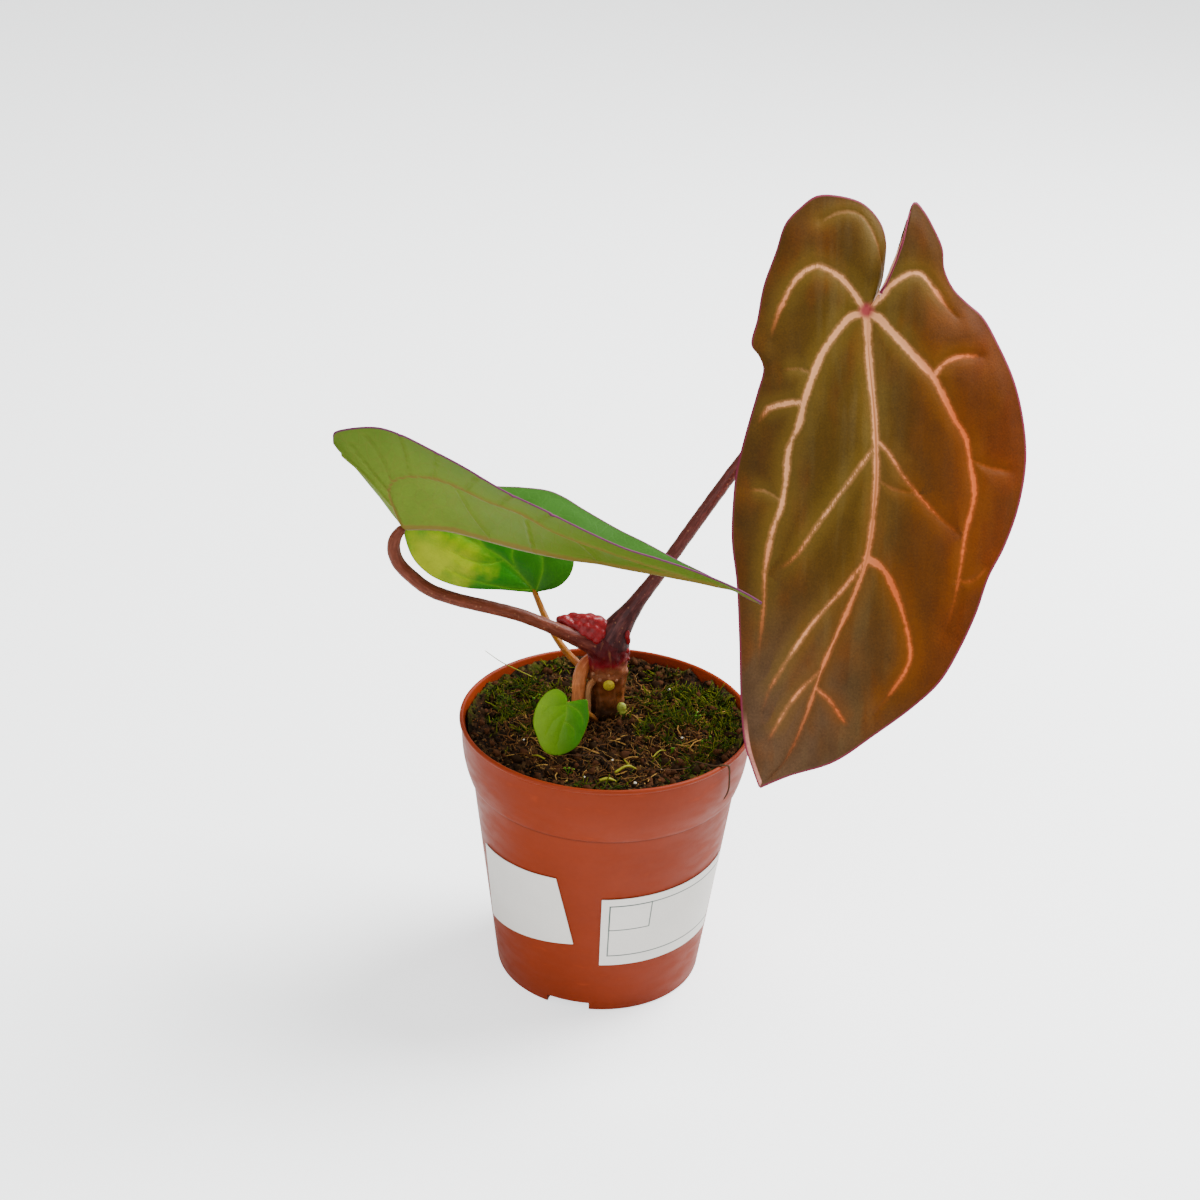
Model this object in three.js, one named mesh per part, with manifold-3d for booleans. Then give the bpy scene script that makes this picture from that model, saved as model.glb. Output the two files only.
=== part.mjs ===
import * as THREE from 'three';
import { mergeVertices } from 'three/addons/utils/BufferGeometryUtils.js';
import Module from 'manifold-3d';

// Potted anthurium hybrid. Millimetres, +Z up, the viewer stands at -Y. The origin is the middle
// of the pot's flat base.

const wasm = await Module();
wasm.setup();

// Driving dimensions
const potHeight = 116;
const baseRadius = 43;        // outside of the wall on the table
const stepHeight = 90;        // where the collar starts
const stepRadius = 54.3;      // outside of the body just under the collar
const collarLow = 55.5;       // outside of the collar at its lower edge
const collarHigh = 59;        // outside of the collar under the bead
const beadRadius = 60;
const beadHeight = 2;
const wall = 1.3;
const floorThick = 1.4;
const notchAngles = [-16, 104, 224];   // degrees from the front, towards +X
const channelWidth = 18;
const channelHeight = 3.6;
const channelStart = 22;
const drainRadius = 4;
const drainAt = 32;
const soilHeight = 110;
const gap = 0.3;              // clearance between pieces that touch
const leafTilt = 63.7;        // degrees: the blades face the viewer
const labelThick = 0.4;

const vector = (p) => new THREE.Vector3(p[0], p[1], p[2]);
const radians = THREE.MathUtils.degToRad;
const lerp = THREE.MathUtils.lerp;

function curveOf(points) {
  return new THREE.CatmullRomCurve3(points.map(vector), false, 'centripetal');
}

function solidOf(geometry) {
  const bare = geometry.index ? geometry.toNonIndexed() : geometry.clone();
  bare.deleteAttribute('normal');
  bare.deleteAttribute('uv');
  const welded = mergeVertices(bare, 1e-4);
  return new wasm.Manifold(new wasm.Mesh({
    numProp: 3,
    vertProperties: new Float32Array(welded.attributes.position.array),
    triVerts: new Uint32Array(welded.index.array),
  }));
}

function geometryOf(solid) {
  const mesh = solid.getMesh();
  const geometry = new THREE.BufferGeometry();
  geometry.setAttribute('position', new THREE.BufferAttribute(new Float32Array(mesh.vertProperties), 3));
  geometry.setIndex(new THREE.BufferAttribute(new Uint32Array(mesh.triVerts), 1));
  geometry.computeVertexNormals();
  return geometry;
}

// The largest piece that a cut leaves
function mainPiece(solid) {
  const parts = solid.decompose();
  return parts.reduce((best, part) => (part.volume() > best.volume() ? part : best), parts[0]);
}

function closedMesh(grid, closed) {
  // grid: rows of points; top and bottom skins are built by the callers
  const positions = [];
  const index = [];
  grid.forEach((row) => row.forEach((p) => positions.push(p.x, p.y, p.z)));
  const width = grid[0].length;
  for (let i = 0; i < grid.length - 1; i++) {
    for (let j = 0; j < width; j++) {
      const next = (j + 1) % width;
      if (!closed && next === 0) continue;
      const a = i * width + j;
      const b = (i + 1) * width + j;
      const c = (i + 1) * width + next;
      const d = i * width + next;
      index.push(a, d, c, a, c, b);
    }
  }
  return { positions, index, width };
}

// A round stalk through points of x, y, z and radius, with flat ends
function stalk(points, { sides = 12, rings = 18, grow = 0 } = {}) {
  const path = curveOf(points);
  const frames = path.computeFrenetFrames(rings, false);
  const grid = [];
  for (let i = 0; i <= rings; i++) {
    const u = i / rings;
    const place = path.getUtoTmapping(u, null) * (points.length - 1);
    const first = Math.min(points.length - 2, Math.floor(place));
    const radius = lerp(points[first][3], points[first + 1][3], place - first) + grow;
    const centre = path.getPointAt(u);
    if (i === 0) centre.addScaledVector(frames.tangents[0], -grow);
    if (i === rings) centre.addScaledVector(frames.tangents[rings], grow);
    const row = [];
    for (let j = 0; j < sides; j++) {
      const angle = (j / sides) * Math.PI * 2;
      row.push(centre.clone()
        .addScaledVector(frames.normals[i], Math.cos(angle) * radius)
        .addScaledVector(frames.binormals[i], Math.sin(angle) * radius));
    }
    grid.push(row);
  }
  const { positions, index, width } = closedMesh(grid, true);
  const start = path.getPointAt(0).addScaledVector(frames.tangents[0], -grow);
  const end = path.getPointAt(1).addScaledVector(frames.tangents[rings], grow);
  const startAt = positions.length / 3;
  positions.push(start.x, start.y, start.z, end.x, end.y, end.z);
  for (let j = 0; j < width; j++) {
    const next = (j + 1) % width;
    index.push(startAt, next, j);
    index.push(startAt + 1, rings * width + j, rings * width + next);
  }
  const geometry = new THREE.BufferGeometry();
  geometry.setAttribute('position', new THREE.Float32BufferAttribute(positions, 3));
  geometry.setIndex(index);
  const solid = solidOf(geometry);
  return solid.volume() < 0 ? solidOf(flipped(geometry)) : solid;
}

function flipped(geometry) {
  const turned = geometry.clone();
  const index = Array.from(turned.index.array);
  for (let k = 0; k < index.length; k += 3) {
    [index[k + 1], index[k + 2]] = [index[k + 2], index[k + 1]];
  }
  turned.setIndex(index);
  return turned;
}

function ball(x, y, z, radius, stretch = [1, 1, 1], detail = 10) {
  const geometry = new THREE.SphereGeometry(radius, detail + 2, detail);
  geometry.scale(...stretch);
  geometry.translate(x, y, z);
  return solidOf(geometry);
}

function union(solids) {
  return solids.reduce((sum, solid) => sum.add(solid));
}

// A leaf blade between its midrib and two margins. Each cross line runs from the midrib to the
// margins, and the blade is thickest along the midrib.
function blade({ midrib, left, right, rows, columns, bulge = [0, 0], pace = 1.6, thick = 1.5, thin = 0.8 }) {
  const spine = curveOf(midrib);
  const edges = [curveOf(left), curveOf(right)];
  const grid = [];
  for (let i = 0; i <= rows; i++) {
    const u = i / rows;
    const centre = spine.getPointAt(u ** pace);
    const row = [];
    for (let j = -columns; j <= columns; j++) {
      const v = Math.abs(j) / columns;
      const side = j < 0 ? 0 : 1;
      const edge = edges[side].getPointAt(u);
      const lift = bulge[side] * Math.min(1, centre.distanceTo(edge) / 30) * 4 * v * (1 - v);
      row.push(centre.clone().lerp(edge, v).add(new THREE.Vector3(0, 0, lift)));
    }
    grid.push(row);
  }
  const width = 2 * columns + 1;
  const normals = grid.map((row, i) => row.map((p, j) => {
    const along = grid[Math.min(rows, i + 1)][j].clone().sub(grid[Math.max(0, i - 1)][j]);
    const across = row[Math.min(width - 1, j + 1)].clone().sub(row[Math.max(0, j - 1)]);
    return along.normalize().cross(across.normalize()).normalize();
  }));
  const positions = [];
  for (const side of [0.5, -0.5]) {
    grid.forEach((row, i) => row.forEach((p, j) => {
      const v = Math.abs(j - columns) / columns;
      const q = p.clone().addScaledVector(normals[i][j], side * lerp(thick, thin, v));
      positions.push(q.x, q.y, q.z);
    }));
  }
  const index = [];
  const count = (rows + 1) * width;
  for (let i = 0; i < rows; i++) {
    for (let j = 0; j < width - 1; j++) {
      const a = i * width + j;
      const b = a + width;
      index.push(a, b, b + 1, a, b + 1, a + 1);
      index.push(count + a, count + b + 1, count + b, count + a, count + a + 1, count + b + 1);
    }
  }
  const rim = [];
  for (let j = 0; j < width - 1; j++) rim.push(j);
  for (let i = 0; i < rows; i++) rim.push(i * width + width - 1);
  for (let j = width - 1; j > 0; j--) rim.push(rows * width + j);
  for (let i = rows; i > 0; i--) rim.push(i * width);
  rim.forEach((a, k) => {
    const b = rim[(k + 1) % rim.length];
    index.push(a, b, count + b, a, count + b, count + a);
  });
  const geometry = new THREE.BufferGeometry();
  geometry.setAttribute('position', new THREE.Float32BufferAttribute(positions, 3));
  geometry.setIndex(index);
  geometry.computeVertexNormals();
  return geometry;
}

// Pot: a turned wall and floor, with three raised drain channels under the floor
const bodyRadius = (z) => lerp(baseRadius, stepRadius, z / stepHeight);

function lathe(profile, segments) {
  const geometry = new THREE.LatheGeometry(profile.map((p) => new THREE.Vector2(p[0], p[1])), segments);
  geometry.rotateX(Math.PI / 2);
  return geometry;
}

function channelBox(angle, grow) {
  const shape = new THREE.BoxGeometry(channelWidth + 2 * grow, 60, channelHeight + 10);
  shape.translate(0, -30 - channelStart + grow, (channelHeight - 10) / 2 + grow);
  shape.rotateZ(radians(angle));
  return solidOf(shape);
}

function insideOfPot(shrink) {
  return [
    [0, floorThick + shrink],
    [bodyRadius(floorThick) - wall - shrink, floorThick + shrink],
    [stepRadius - wall - shrink, stepHeight],
    [collarLow - wall - shrink, stepHeight + 1.2 + shrink],
  ];
}

function potSolid() {
  const inside = insideOfPot(0);
  const profile = [
    [0, 0],
    [baseRadius, 0],
    [stepRadius, stepHeight - 0.6],
    [stepRadius, stepHeight],
    [collarLow, stepHeight],
    [collarHigh, potHeight - beadHeight],
    [beadRadius - 0.3, potHeight - beadHeight],
    [beadRadius, potHeight - beadHeight * 0.7],
    [beadRadius, potHeight - beadHeight * 0.3],
    [beadRadius - 0.6, potHeight],
    [beadRadius - 1.7, potHeight],
    [collarHigh - wall, potHeight - beadHeight * 0.5],
    ...inside.reverse(),
  ];
  let pot = solidOf(lathe(profile, 96));
  if (pot.volume() < 0) pot = solidOf(lathe(profile.reverse(), 96));
  const keepIn = solidOf(lathe([[0, 0.2], [baseRadius - 0.8, 0.2], [baseRadius + 0.2, 8], [0, 8]], 48));
  for (const angle of notchAngles) {
    pot = pot.add(channelBox(angle, 1.4).intersect(keepIn));
  }
  for (const angle of notchAngles) {
    pot = pot.subtract(channelBox(angle, 0));
    const hole = new THREE.CylinderGeometry(drainRadius, drainRadius, 20, 24);
    hole.rotateX(Math.PI / 2);
    hole.translate(0, -drainAt, 0);
    hole.rotateZ(radians(angle));
    pot = pot.subtract(solidOf(hole));
  }
  return pot;
}

// Potting mix: fills the pot to just under the rim, with a lumpy top
function relief(x, y) {
  const far = Math.hypot(x, y) / 57;
  return 0.7 * Math.sin(x * 0.21 + 1.3) * Math.cos(y * 0.17 - 0.4)
    + 0.45 * Math.sin(x * 0.43 - y * 0.31) + 1.1 * far * far - 0.4;
}

function soilSolid(holes) {
  const low = insideOfPot(gap);
  const topRadius = lerp(collarLow, collarHigh, (soilHeight - stepHeight) / (potHeight - beadHeight - stepHeight))
    - wall - gap;
  const rings = [topRadius, topRadius - 2.5, 47, 39, 31, 23, 15, 7, 0];
  const profile = [...low, ...rings.map((r) => [r, soilHeight])];
  const geometry = lathe(profile, 48);
  const place = geometry.attributes.position;
  for (let i = 0; i < place.count; i++) {
    if (place.getZ(i) > soilHeight - 1) {
      place.setZ(i, place.getZ(i) + relief(place.getX(i), place.getY(i)));
    }
  }
  let soil = solidOf(geometry);
  if (soil.volume() < 0) soil = solidOf(flipped(mergeVertices(geometry)));
  for (const angle of notchAngles) {
    soil = soil.subtract(channelBox(angle, 1.4 + gap));
  }
  return mainPiece(soil.subtract(union(holes)));
}

// Paper label: a thin patch that follows the wall, given by its four corners (angle, height)
function labelGeometry([lowLeft, lowRight, highRight, highLeft]) {
  const steps = 16;
  const grid = [];
  for (const [depth, order] of [[gap, [0, 1]], [gap + labelThick, [1, 0]]]) {
    for (const v of order) {
      const row = [];
      for (let i = 0; i <= steps; i++) {
        const u = i / steps;
        const angle = radians(lerp(lerp(lowLeft[0], lowRight[0], u), lerp(highLeft[0], highRight[0], u), v));
        const z = lerp(lerp(lowLeft[1], lowRight[1], u), lerp(highLeft[1], highRight[1], u), v);
        const r = bodyRadius(z) + depth;
        row.push(new THREE.Vector3(Math.sin(angle) * r, -Math.cos(angle) * r, z));
      }
      grid.push(row);
    }
  }
  grid.push(grid[0]);
  const { positions, index, width } = closedMesh(grid, false);
  for (const i of [0, steps]) {
    const ring = [0, 1, 2, 3].map((k) => k * width + i);
    if (i === 0) index.push(ring[0], ring[1], ring[2], ring[0], ring[2], ring[3]);
    else index.push(ring[0], ring[2], ring[1], ring[0], ring[3], ring[2]);
  }
  const geometry = new THREE.BufferGeometry();
  geometry.setAttribute('position', new THREE.Float32BufferAttribute(positions, 3));
  geometry.setIndex(index);
  const solid = solidOf(geometry);
  return geometryOf(solid.volume() < 0 ? solidOf(flipped(geometry)) : solid);
}

// Stem and what grows from it, as points of x, y, z and radius
const stemPath = [
  [0.6, 16.8, 92, 5], [0.4, 16.7, 100, 6.8], [0.2, 16.6, 110, 7.1], [0.2, 16.6, 119, 7.1],
  [0.2, 16.6, 124, 7.4], [0, 16.6, 127, 8.2], [-0.2, 16.6, 130, 8.2], [-0.3, 16.6, 135, 8.6],
  [0, 16.6, 140, 8.4], [0.8, 16.6, 144, 7.2], [1.4, 16.6, 146.5, 4.6], [1.6, 16.6, 147.3, 1.6],
];
const largePetiolePath = [
  [2.6, 16.9, 145.8, 5.8], [4.8, 17, 149.8, 5.2], [8, 17.4, 154.8, 4.1], [11.9, 18, 160.9, 3.3],
  [19.6, 19.5, 172.2, 2.8], [34.6, 23, 195.6, 2.7], [47.7, 27, 215.2, 2.6], [60, 31.5, 231.7, 2.6],
  [72, 36.5, 248, 2.6], [84, 42, 263, 2.5], [92.5, 46.8, 273, 2.4], [95.6, 46.6, 276.4, 2.3],
  [96, 43.6, 277.5, 2.2],
];
const foldedPetiolePath = [
  [-3.5, 15.8, 139, 3.8], [-7.5, 15, 141.5, 3.6], [-13.9, 13, 144.6, 3.1], [-21.7, 11, 148.9, 2.8],
  [-36.3, 8, 156.2, 2.8], [-49.6, 6, 160.5, 2.8], [-62.3, 4, 164.4, 2.8], [-72.2, 3, 168.5, 2.8],
  [-79.7, 2, 174.9, 2.8], [-84.8, 2, 180.8, 2.8], [-86.5, 2, 187.3, 2.7], [-85.4, 1.8, 192, 2.5],
  [-83.2, 1.8, 195.4, 1.7],
];
const backPetiolePath = [
  [-4, 19, 121, 1.7], [-9.5, 22, 123.7, 1.6], [-12.9, 25, 126.2, 1.6], [-18.2, 31, 129, 1.5],
  [-23.6, 39, 133.1, 1.5], [-28.2, 46, 138.9, 1.5], [-31.7, 49.9, 145.2, 1.1],
];
const smallPetiolePath = [
  [-3, 12, 104, 1.5], [-5.5, 6, 111, 1.4], [-9, -2, 118, 1.3], [-13, -10, 125, 1.2], [-15.8, -15.8, 129.5, 1.1],
];
const sideRootPath = [
  [-5.5, 17.5, 133.8, 2.4], [-8.3, 16, 132.2, 2.6], [-10.7, 13, 129.2, 2.8], [-11.6, 10.5, 125, 2.8],
  [-11.6, 9, 117.5, 2.9], [-11.8, 8.6, 108, 2.8], [-14, 8, 98, 2.6], [-19, 5, 86, 2.3], [-24, 0, 72, 1.6],
];
const thinRootPath = [
  [-4.5, 12.4, 126.5, 1.3], [-7.4, 8.7, 124, 1.2], [-7.6, 7.2, 117, 1.2], [-7.6, 6.2, 109, 1.2], [-8, 2, 98, 1],
];
const buriedRootPaths = [
  [[0.6, 16.8, 92, 2.8], [12, 12, 84, 2.7], [24, 4, 66, 2.5], [29, -4, 42, 2.2], [24, -14, 22, 1.6]],
  [[0.6, 16.8, 92, 2.8], [8, 26, 82, 2.6], [16, 34, 62, 2.3], [14, 32, 36, 1.8]],
  [[0.6, 16.8, 92, 2.8], [-8, 26, 80, 2.6], [-20, 32, 60, 2.3], [-26, 24, 38, 2], [-20, 12, 20, 1.4]],
  [[0.6, 16.8, 92, 2.8], [2, 6, 78, 2.6], [-4, -8, 58, 2.4], [-2, -22, 36, 2], [6, -28, 18, 1.4]],
];
const nubs = [
  [-19, 14.6, 149.9, 2.2], [-15.4, 16.6, 149.6, 2.5], [-11.6, 15.4, 149, 2.5], [-8.4, 17.2, 149.2, 2.5],
  [-5.2, 15.6, 148.6, 2.4], [-8.6, 13, 147.4, 2.3], [-4.8, 12.4, 145.8, 2.2], [-12.6, 12.4, 147.9, 2],
];

const coreBall = (grow) => ball(0.6, 16.8, 92, 5.2 + grow, [1, 1, 1], 10);
const rootsOf = (grow) => union([coreBall(grow), ...buriedRootPaths.map((p) => stalk(p, { sides: 8, rings: 12, grow }))]);
const nubsOf = (grow) => union(nubs.map((n) => ball(n[0], n[1], n[2], n[3] + grow, [1, 1, 1], 6)));
const stemOf = (grow) => stalk(stemPath, { sides: 22, rings: 22, grow });
const largePetioleOf = (grow) => stalk(largePetiolePath, { sides: 12, rings: 30, grow });
const foldedPetioleOf = (grow) => stalk(foldedPetiolePath, { sides: 12, rings: 30, grow });
const backPetioleOf = (grow) => stalk(backPetiolePath, { sides: 8, rings: 14, grow });
const smallPetioleOf = (grow) => stalk(smallPetiolePath, { sides: 8, rings: 8, grow });
const sideRootOf = (grow) => stalk(sideRootPath, { sides: 12, rings: 18, grow });
const thinRootOf = (grow) => stalk(thinRootPath, { sides: 8, rings: 10, grow });

// Blades. Each is drawn in its own frame: x to the viewer's right, y up the picture, z towards the viewer.
const leaves = {
  leaf_large: {
    at: [96, 42.3, 278.1],
    rows: 38,
    columns: 6,
    bulge: [2.5, 3],
    midrib: [[0, 0, 0], [0.5, -6.5, 0.5], [2, -21, 1], [4, -36.5, 1.5], [5.5, -52.5, 2], [6, -70, 2], [3.5, -98, 1],
      [-3.5, -119, 0], [-11.5, -139, 0], [-18.5, -162, -1], [-25.5, -178, -1], [-35, -188.5, 0]],
    left: [[0.3, 1.2, -0.6], [3.5, 5, -2], [6, 11.5, -3], [7, 19.5, -3], [7, 28, -2], [4.5, 35.5, -2], [-2, 42.5, -3],
      [-11, 45.5, -4], [-20.5, 45.5, -5], [-27, 40.5, -5], [-32.5, 34, -4], [-36, 22.5, -3], [-40.5, 8.5, -2],
      [-42.5, -4.5, -1], [-44.5, -15, 1], [-41.5, -19, 3], [-39.5, -24, 3], [-41.5, -33.5, 0], [-45.5, -50, -2],
      [-48.5, -64.5, -2], [-49.5, -76, 0], [-49.5, -92, 1], [-47, -108.5, 1], [-45, -132, 0], [-43.5, -156.5, 0],
      [-41.5, -172, 1], [-38.5, -180.5, 1], [-35.4, -188.3, 0.2]],
    right: [[1.2, 0.9, 0.6], [6, 7.5, 2], [9.5, 13.5, 3], [11.5, 20, 4], [14, 29, 4], [15, 37, 3], [17.5, 43.5, 1],
      [21.5, 40, 0], [25.5, 34, -1], [29.5, 26, -2], [30.5, 18, -2], [34.5, 10.5, -3], [40.5, 5, -4], [46.5, 0, -4],
      [53, -10.5, -4], [60, -25, -4], [64.5, -41, -5], [66, -56, -5], [63.5, -74.5, -4], [58, -91, -2],
      [52, -103, 0], [48, -117, -2], [42, -131.5, -2], [34.5, -144.5, 0], [25, -154, 1], [9.5, -166.5, -1],
      [-6, -177.5, 0], [-23, -183.5, 1], [-34.6, -188.7, -0.2]],
    colour: 0x59481f,
  },
  leaf_folded: {
    at: [-82.7, 2, 196.1],
    rows: 32,
    columns: 6,
    bulge: [2, -1.5],
    midrib: [[0, 0, 0], [14.5, 0, 1], [30.5, -3, 3], [46.5, -7, 5], [62, -9.5, 8], [78, -11, 10], [97.5, -14.5, 13],
      [116.5, -17, 16], [130, -20, 18], [140.5, -25, 19]],
    left: [[-0.5, 0.9, 0.6], [-3.5, 5, 3], [-10.5, 13.5, 12], [-19, 23.5, 22], [-24.5, 29, 27], [-26, 31.5, 28],
      [-25, 34, 29], [-20.5, 35.5, 30], [-9, 36.5, 31], [0.5, 34, 33], [12.5, 28.5, 35], [26, 22, 38],
      [41.5, 13.5, 40], [56.5, 7, 41], [72, 0, 40], [87, -6, 37], [100, -9.5, 33], [114, -13.5, 28],
      [130.5, -19.5, 22], [140.7, -24.6, 19.4]],
    right: [[-0.7, 0.6, -0.5], [-4, 5, -3], [-7, 10.5, -8], [-11, 16.5, -14], [-12.5, 22.5, -20], [-9.5, 26.5, -25],
      [3.5, 27.5, -28], [19.5, 23.5, -30], [32, 19, -30], [44.5, 18.5, -28], [56, 17.5, -26], [62.5, 15, -23],
      [70, 10.5, -18], [78, 6, -13], [85.5, 2, -9], [95, -2.5, -3], [107.5, -9, 5], [122.5, -16, 14],
      [140.1, -25.3, 18.6]],
    colour: 0x6f7a4e,
  },
  leaf_back: {
    at: [-31.9, 50, 146.2],
    rows: 24,
    columns: 5,
    bulge: [1.5, 1.5],
    midrib: [[0, 0, 0], [-7.5, 6, 1], [-15, 11.5, 1], [-24, 18, 0], [-30.5, 22.5, -1], [-41.5, 29, -3], [-52.5, 34.5, -6]],
    left: [[-0.8, 0, 0], [-5, 0, 1], [-14.5, 0.5, 2], [-27.5, 0.5, 2], [-36, 2, 1], [-44.5, 5.5, -1], [-51.5, 11.5, -3],
      [-55, 18, -4], [-56.5, 24.5, -5], [-53, 34.3, -6]],
    right: [[0.6, 0.8, 0], [5.5, 1, 1], [10.5, 3, 1], [14.5, 7.5, 0], [16, 13.5, -1], [14, 21.5, -3], [6.5, 28.5, -4],
      [-3.5, 33.5, -5], [-16.5, 37.5, -6], [-33.5, 39.5, -6], [-45, 39, -6], [-52.2, 35, -6]],
    colour: 0x7c9a34,
  },
  leaf_small: {
    at: [-16, -17, 130.3],
    rows: 18,
    columns: 4,
    bulge: [1, 1],
    midrib: [[0, 0, 0], [-1, -3.5, 0.6], [-1.5, -7.5, 1], [-2.5, -12, 1], [-3, -17, 1], [-3, -20.5, 1]],
    left: [[-0.4, 0.7, 0], [0, 2.2, 0], [-2, 4.5, 0], [-4.5, 5.5, 0], [-7.5, 4.5, 0], [-10, 2, 0], [-12, -1.5, 0],
      [-13, -5.5, 0], [-13, -9.5, 0], [-11.5, -13.5, 0.5], [-10, -17, 1], [-7.5, -20, 1], [-3.5, -20.9, 1]],
    right: [[0.8, 0.3, 0], [3.5, 1, 0], [5.5, 1.5, 0], [8, 1.5, 0], [8.5, -1.5, 0], [9, -4.5, 0], [8.5, -8, 0],
      [7, -12.5, 0.5], [5, -16.5, 1], [2, -19, 1], [-2.6, -21, 1]],
    colour: 0x6fa32c,
  },
};

const stem = stemOf(0);
const stemRoom = stemOf(gap);
const largePetiole = mainPiece(largePetioleOf(0).subtract(stemRoom));
const foldedPetiole = mainPiece(foldedPetioleOf(0).subtract(union([
  stemRoom, largePetioleOf(gap),
])));
const sideRoot = mainPiece(sideRootOf(0).subtract(union([stemRoom, foldedPetioleOf(gap)])));
const rootInitials = mainPiece(nubsOf(0).subtract(union([
  stemRoom, largePetioleOf(gap), foldedPetioleOf(gap), sideRootOf(gap),
])));
const thinRoot = mainPiece(thinRootOf(0).subtract(union([stemRoom, sideRootOf(gap)])));
const backPetiole = mainPiece(backPetioleOf(0).subtract(union([
  stemRoom, sideRootOf(gap),
])));
const smallPetiole = mainPiece(smallPetioleOf(0).subtract(union([stemRoom, sideRootOf(gap), thinRootOf(gap)])));
const roots = mainPiece(rootsOf(0).subtract(union([stemRoom, sideRootOf(gap), thinRootOf(gap), smallPetioleOf(gap)])));
const bud = mainPiece(ball(6.2, 9.6, 114.4, 2.2, [1, 0.9, 1.1], 10).subtract(stemRoom));
const scarShape = new THREE.CylinderGeometry(2.3, 2.3, 2.4, 20);
scarShape.translate(0.4, 9.6, 125.7);
const scar = mainPiece(solidOf(scarShape).subtract(stemRoom));

const soil = soilSolid([
  stemRoom, rootsOf(gap), sideRootOf(gap), thinRootOf(gap), smallPetioleOf(gap),
]);

const plant = new THREE.Group();
plant.name = 'potted_anthurium_hybrid';

function addPiece(name, geometry, colour, roughness, home = plant) {
  const mesh = new THREE.Mesh(geometry, new THREE.MeshStandardMaterial({ color: colour, roughness, metalness: 0 }));
  mesh.name = name;
  home.add(mesh);
  return mesh;
}

addPiece('pot', geometryOf(potSolid()), 0xb5633c, 0.55);
addPiece('soil', geometryOf(soil), 0x2b2119, 0.95);
addPiece('label_left', labelGeometry([[-70.8, 27.5], [-12.3, 35.4], [-20.1, 68], [-66.9, 65.2]]), 0xf0efec, 0.7);
addPiece('label_right', labelGeometry([[0.8, 25.4], [70, 26.2], [73.3, 61.8], [0.9, 60]]), 0xf0efec, 0.7);
addPiece('stem', geometryOf(stem), 0x7a3322, 0.6);
addPiece('roots', geometryOf(roots), 0x9a7450, 0.8);
addPiece('side_root', geometryOf(sideRoot), 0x8f5a30, 0.7);
addPiece('thin_root', geometryOf(thinRoot), 0xb58f60, 0.7);
addPiece('root_initials', geometryOf(rootInitials), 0x8f2b22, 0.55);
addPiece('bud', geometryOf(bud), 0xc6c98a, 0.6);
addPiece('petiole_scar', geometryOf(scar), 0xa9a352, 0.7);
addPiece('large_petiole', geometryOf(largePetiole), 0x4a2620, 0.5);
addPiece('folded_petiole', geometryOf(foldedPetiole), 0x6b3a26, 0.5);
addPiece('back_petiole', geometryOf(backPetiole), 0xa5803a, 0.5);
addPiece('small_petiole', geometryOf(smallPetiole), 0x9a6a48, 0.5);

for (const [name, leaf] of Object.entries(leaves)) {
  const home = new THREE.Group();
  home.name = `${name}_frame`;
  home.position.set(...leaf.at);
  home.rotation.x = radians(leafTilt);
  plant.add(home);
  addPiece(name, blade(leaf), leaf.colour, 0.6, home);
}

export default plant;
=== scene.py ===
import math
import random

import bmesh
import bpy
import numpy as np
from mathutils import Matrix, Vector, noise


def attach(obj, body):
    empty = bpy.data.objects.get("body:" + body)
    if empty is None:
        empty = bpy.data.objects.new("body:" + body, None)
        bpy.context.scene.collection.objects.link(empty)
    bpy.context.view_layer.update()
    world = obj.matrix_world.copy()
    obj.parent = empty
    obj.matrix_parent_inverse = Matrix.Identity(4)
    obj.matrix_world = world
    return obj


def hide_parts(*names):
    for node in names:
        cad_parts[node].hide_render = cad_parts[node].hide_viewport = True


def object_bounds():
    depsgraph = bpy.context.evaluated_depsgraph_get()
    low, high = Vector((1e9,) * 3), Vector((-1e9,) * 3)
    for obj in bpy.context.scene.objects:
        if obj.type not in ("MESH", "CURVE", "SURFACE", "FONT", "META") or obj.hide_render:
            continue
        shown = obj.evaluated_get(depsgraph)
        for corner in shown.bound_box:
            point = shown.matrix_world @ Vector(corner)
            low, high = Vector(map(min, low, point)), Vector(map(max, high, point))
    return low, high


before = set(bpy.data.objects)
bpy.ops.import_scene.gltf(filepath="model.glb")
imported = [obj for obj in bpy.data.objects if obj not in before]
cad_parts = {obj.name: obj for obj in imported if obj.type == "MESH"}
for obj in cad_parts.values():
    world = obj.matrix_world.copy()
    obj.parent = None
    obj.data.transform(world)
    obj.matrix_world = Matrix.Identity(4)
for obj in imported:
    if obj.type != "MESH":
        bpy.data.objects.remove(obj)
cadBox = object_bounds()
print("frame loaded")

mm = 0.001


# shapes shared by the pieces: all sizes below are millimetres

def smoothPath(points, steps=14):
    # a centripetal curve through the points, as close-set points
    pts = np.array(points, float)
    ext = np.vstack([2 * pts[0] - pts[1], pts, 2 * pts[-1] - pts[-2]])
    out = []
    for i in range(len(pts) - 1):
        p0, p1, p2, p3 = ext[i:i + 4]
        gaps = ((p0, p1), (p1, p2), (p2, p3))
        d0, d1, d2 = (max(np.linalg.norm(b[:3] - a[:3]) ** 0.5, 1e-3) for a, b in gaps)
        m1 = ((p1 - p0) / d0 - (p2 - p0) / (d0 + d1) + (p2 - p1) / d1) * d1
        m2 = ((p2 - p1) / d1 - (p3 - p1) / (d1 + d2) + (p3 - p2) / d2) * d1
        t = np.linspace(0, 1, steps, endpoint=False)[:, None]
        out.append((2 * t**3 - 3 * t**2 + 1) * p1 + (t**3 - 2 * t**2 + t) * m1
                   + (-2 * t**3 + 3 * t**2) * p2 + (t**3 - t**2) * m2)
    out.append(pts[-1:])
    return np.vstack(out)


def pathLength(path):
    return np.concatenate([[0], np.cumsum(np.linalg.norm(np.diff(path[:, :3], axis=0), axis=1))])


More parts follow.
